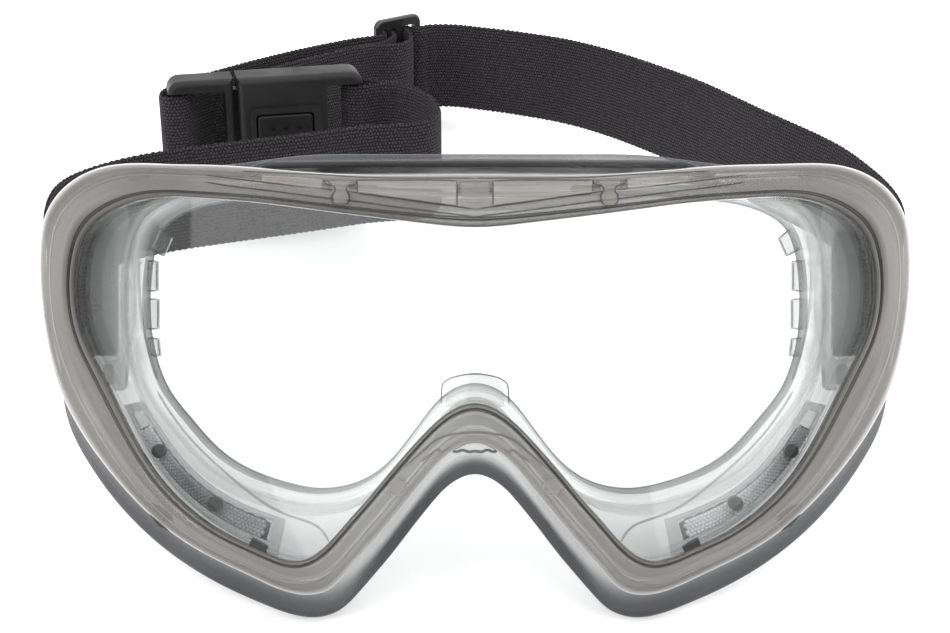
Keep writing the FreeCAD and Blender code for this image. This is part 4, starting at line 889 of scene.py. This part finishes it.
# long strap, right anchor to the slider, to the plug and back to the slider
ctl, n0 = anchor(1, LONG)
iL = len(ctl) - 1
def ext(pts):
    for p in pts: ctl.append((*flat3(p), *NT))
    return len(ctl) - 1
iF = ext(FREE[1:-1])
iW0 = ext(WEAVE[:1]); iW1 = ext(WEAVE[1:])
bk = BACK[::-1]
ext(bk[1:3]); ext(bk[3:4]); iBm = len(ctl) - 1; ext(bk[4:-1])
iP0 = ext(PLUG_LOOP[:1]); iP1 = ext(PLUG_LOOP[1:])
ext(FRONT[1:3]); iFm = len(ctl) - 1; iF1 = ext(FRONT[3:-1])
iE0 = ext(END_LOOP[:1]); ext(END_LOOP[1:]); iE1 = ext([(-29.2, 150.3), (-33.6, 148.0), (-38.2, 144.0)])
rows, idx, ss = spline3(np.array(ctl))
near = lambda v: int(np.argmin(np.abs(idx - v)))
def seg(name, a, b, body=None, old=None, ends=(False, False), pair=None):
    ja, jb = near(a), near(b)
    o = ribbon(name, rows, ss, body, span=(ja, jb), ends=ends)
    if pair:
        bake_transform(o)
    if old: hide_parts(old)
    return o
seg("long_strap_web", 0, iL, "goggles", "long_strap", (True, False))
seg("free_span_web", iL, iW0, None, "strap_free_span", pair=("goggles", "slider"))
seg("weave_web", iW0, iW1, "slider", "strap_weave")
seg("back_strand_web_a", iW1, iBm, None, "strap_strand_back", pair=("slider", "goggles"))
seg("back_strand_web_b", iBm, iP0, None, None, pair=("goggles", "buckle_plug_half"))
seg("plug_loop_web", iP0, iP1, "buckle_plug_half", "plug_strap_loop")
seg("front_strand_web_a", iP1, iFm, None, "strap_strand_front", pair=("buckle_plug_half", "goggles"))
seg("front_strand_web_b", iFm, iE0, None, None, pair=("goggles", "slider"))
seg("end_loop_web", iE0, iE1, "slider", "slider_end_loop", (False, True))

# short strap, left anchor to the socket's bar
sctl, sn0 = anchor(-1, SHORT[:-1])
for p in ((-26.6, 109.6), (-28.6, 108.5), (-30.5, 108.15), (-31.97, 108.2), (-33.3, 108.8), (-34.2, 109.96), (-34.5, 111.4), (-34.2, 112.8), (-33.3, 113.96), (-31.95, 114.55), (-29.8, 114.6), (-27.0, 113.9), (-24.2, 112.9), (-21.3, 111.7), (-17.6, 109.3), (-14.3, 106.2)):
    sctl.append((*flat3(p), *NT))
srows, sidx, sss = spline3(np.array(sctl))
o = ribbon("short_strap_web", srows, sss, "goggles"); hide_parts("short_strap")

def stitch(name, rows, ss, at, body, old, T=1.2, Wd=25.0, wide=1.5):
    """Bar tack: a close zigzag of thread across the webbing, on both faces."""
    c, wv = rows[:, :3], rows[:, 3:6]
    tg = np.gradient(c, axis=0); tg /= np.linalg.norm(tg, axis=1)[:, None]
    wv = wv - (wv * tg).sum(1)[:, None] * tg; wv /= np.linalg.norm(wv, axis=1)[:, None]
    nn = np.cross(tg, wv)
    V, Fc = [], []
    for face in (1, -1):
        pts = []
        k = 0
        x = -Wd / 2 + 1.6
        while x < Wd / 2 - 1.6:
            sx = ss[at] + (wide / 2 if k % 2 else -wide / 2)
            j = int(np.clip(np.searchsorted(ss, sx), 0, len(ss) - 1))
            pts.append(c[j] + wv[j] * x + nn[j] * face * (T / 2 + 0.10)); x += 0.42; k += 1
        p = np.array(pts); r = 0.16
        tt = np.gradient(p, axis=0); tt /= np.linalg.norm(tt, axis=1)[:, None]
        up = nn[at] * face; sd = np.cross(tt, up); sd /= np.linalg.norm(sd, axis=1)[:, None]
        b0 = len(V)
        for j in range(len(p)):
            for q in range(6):
                an = 2 * math.pi * q / 6
                V.append(p[j] + sd[j] * math.cos(an) * r + up * math.sin(an) * r)
        for j in range(len(p) - 1):
            for q in range(6):
                q2 = (q + 1) % 6
                Fc.append((b0 + j * 6 + q, b0 + j * 6 + q2, b0 + j * 6 + 6 + q2, b0 + j * 6 + 6 + q))
        Fc.append(tuple(b0 + q for q in range(6))[::-1]); Fc.append(tuple(b0 + (len(p) - 1) * 6 + q for q in range(6)))
    ob = make(name, world(V), Fc, THREAD)
    recalc(ob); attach(ob, body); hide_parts(old)
    return ob
stitch("tack_anchor_right", rows, ss, near(n0 + 1), "goggles", "bar_tack_anchor_right")
stitch("tack_anchor_left", srows, sss, int(np.argmin(np.abs(sidx - (sn0 + 1)))), "goggles", "bar_tack_anchor_left")
stitch("tack_slider", rows, ss, near(iE1 - 0.3), "slider", "bar_tack_slider")
stitch("tack_buckle", srows, sss, int(np.argmin(np.abs(sidx - (len(sctl) - 2.0)))), "goggles", "bar_tack_buckle")

# ------------------------------------------------------------------ carried-over CAD nodes
for n, m in (("lens", LENS), ("lens_gasket", GASK), ("brow_posts", LUG), ("nose_pegs", POST),
             ("brow_clip", LUG), ("nose_tab", TABN), ("brow_vent_mesh", MESHM), ("lower_vent_cover_right", LCOV), ("lower_vent_cover_left", LCOV), ("vent_pegs", LUG),
             ("strap_bracket_right", CLIP), ("strap_bracket_left", CLIP), ("strap_bar_right", CLIP), ("strap_bar_left", CLIP),
             ("buckle_socket", BUCK), ("buckle_plug", BUCK), ("release_button", PAD), ("strap_slider", SLID)):
    paint(n, m)
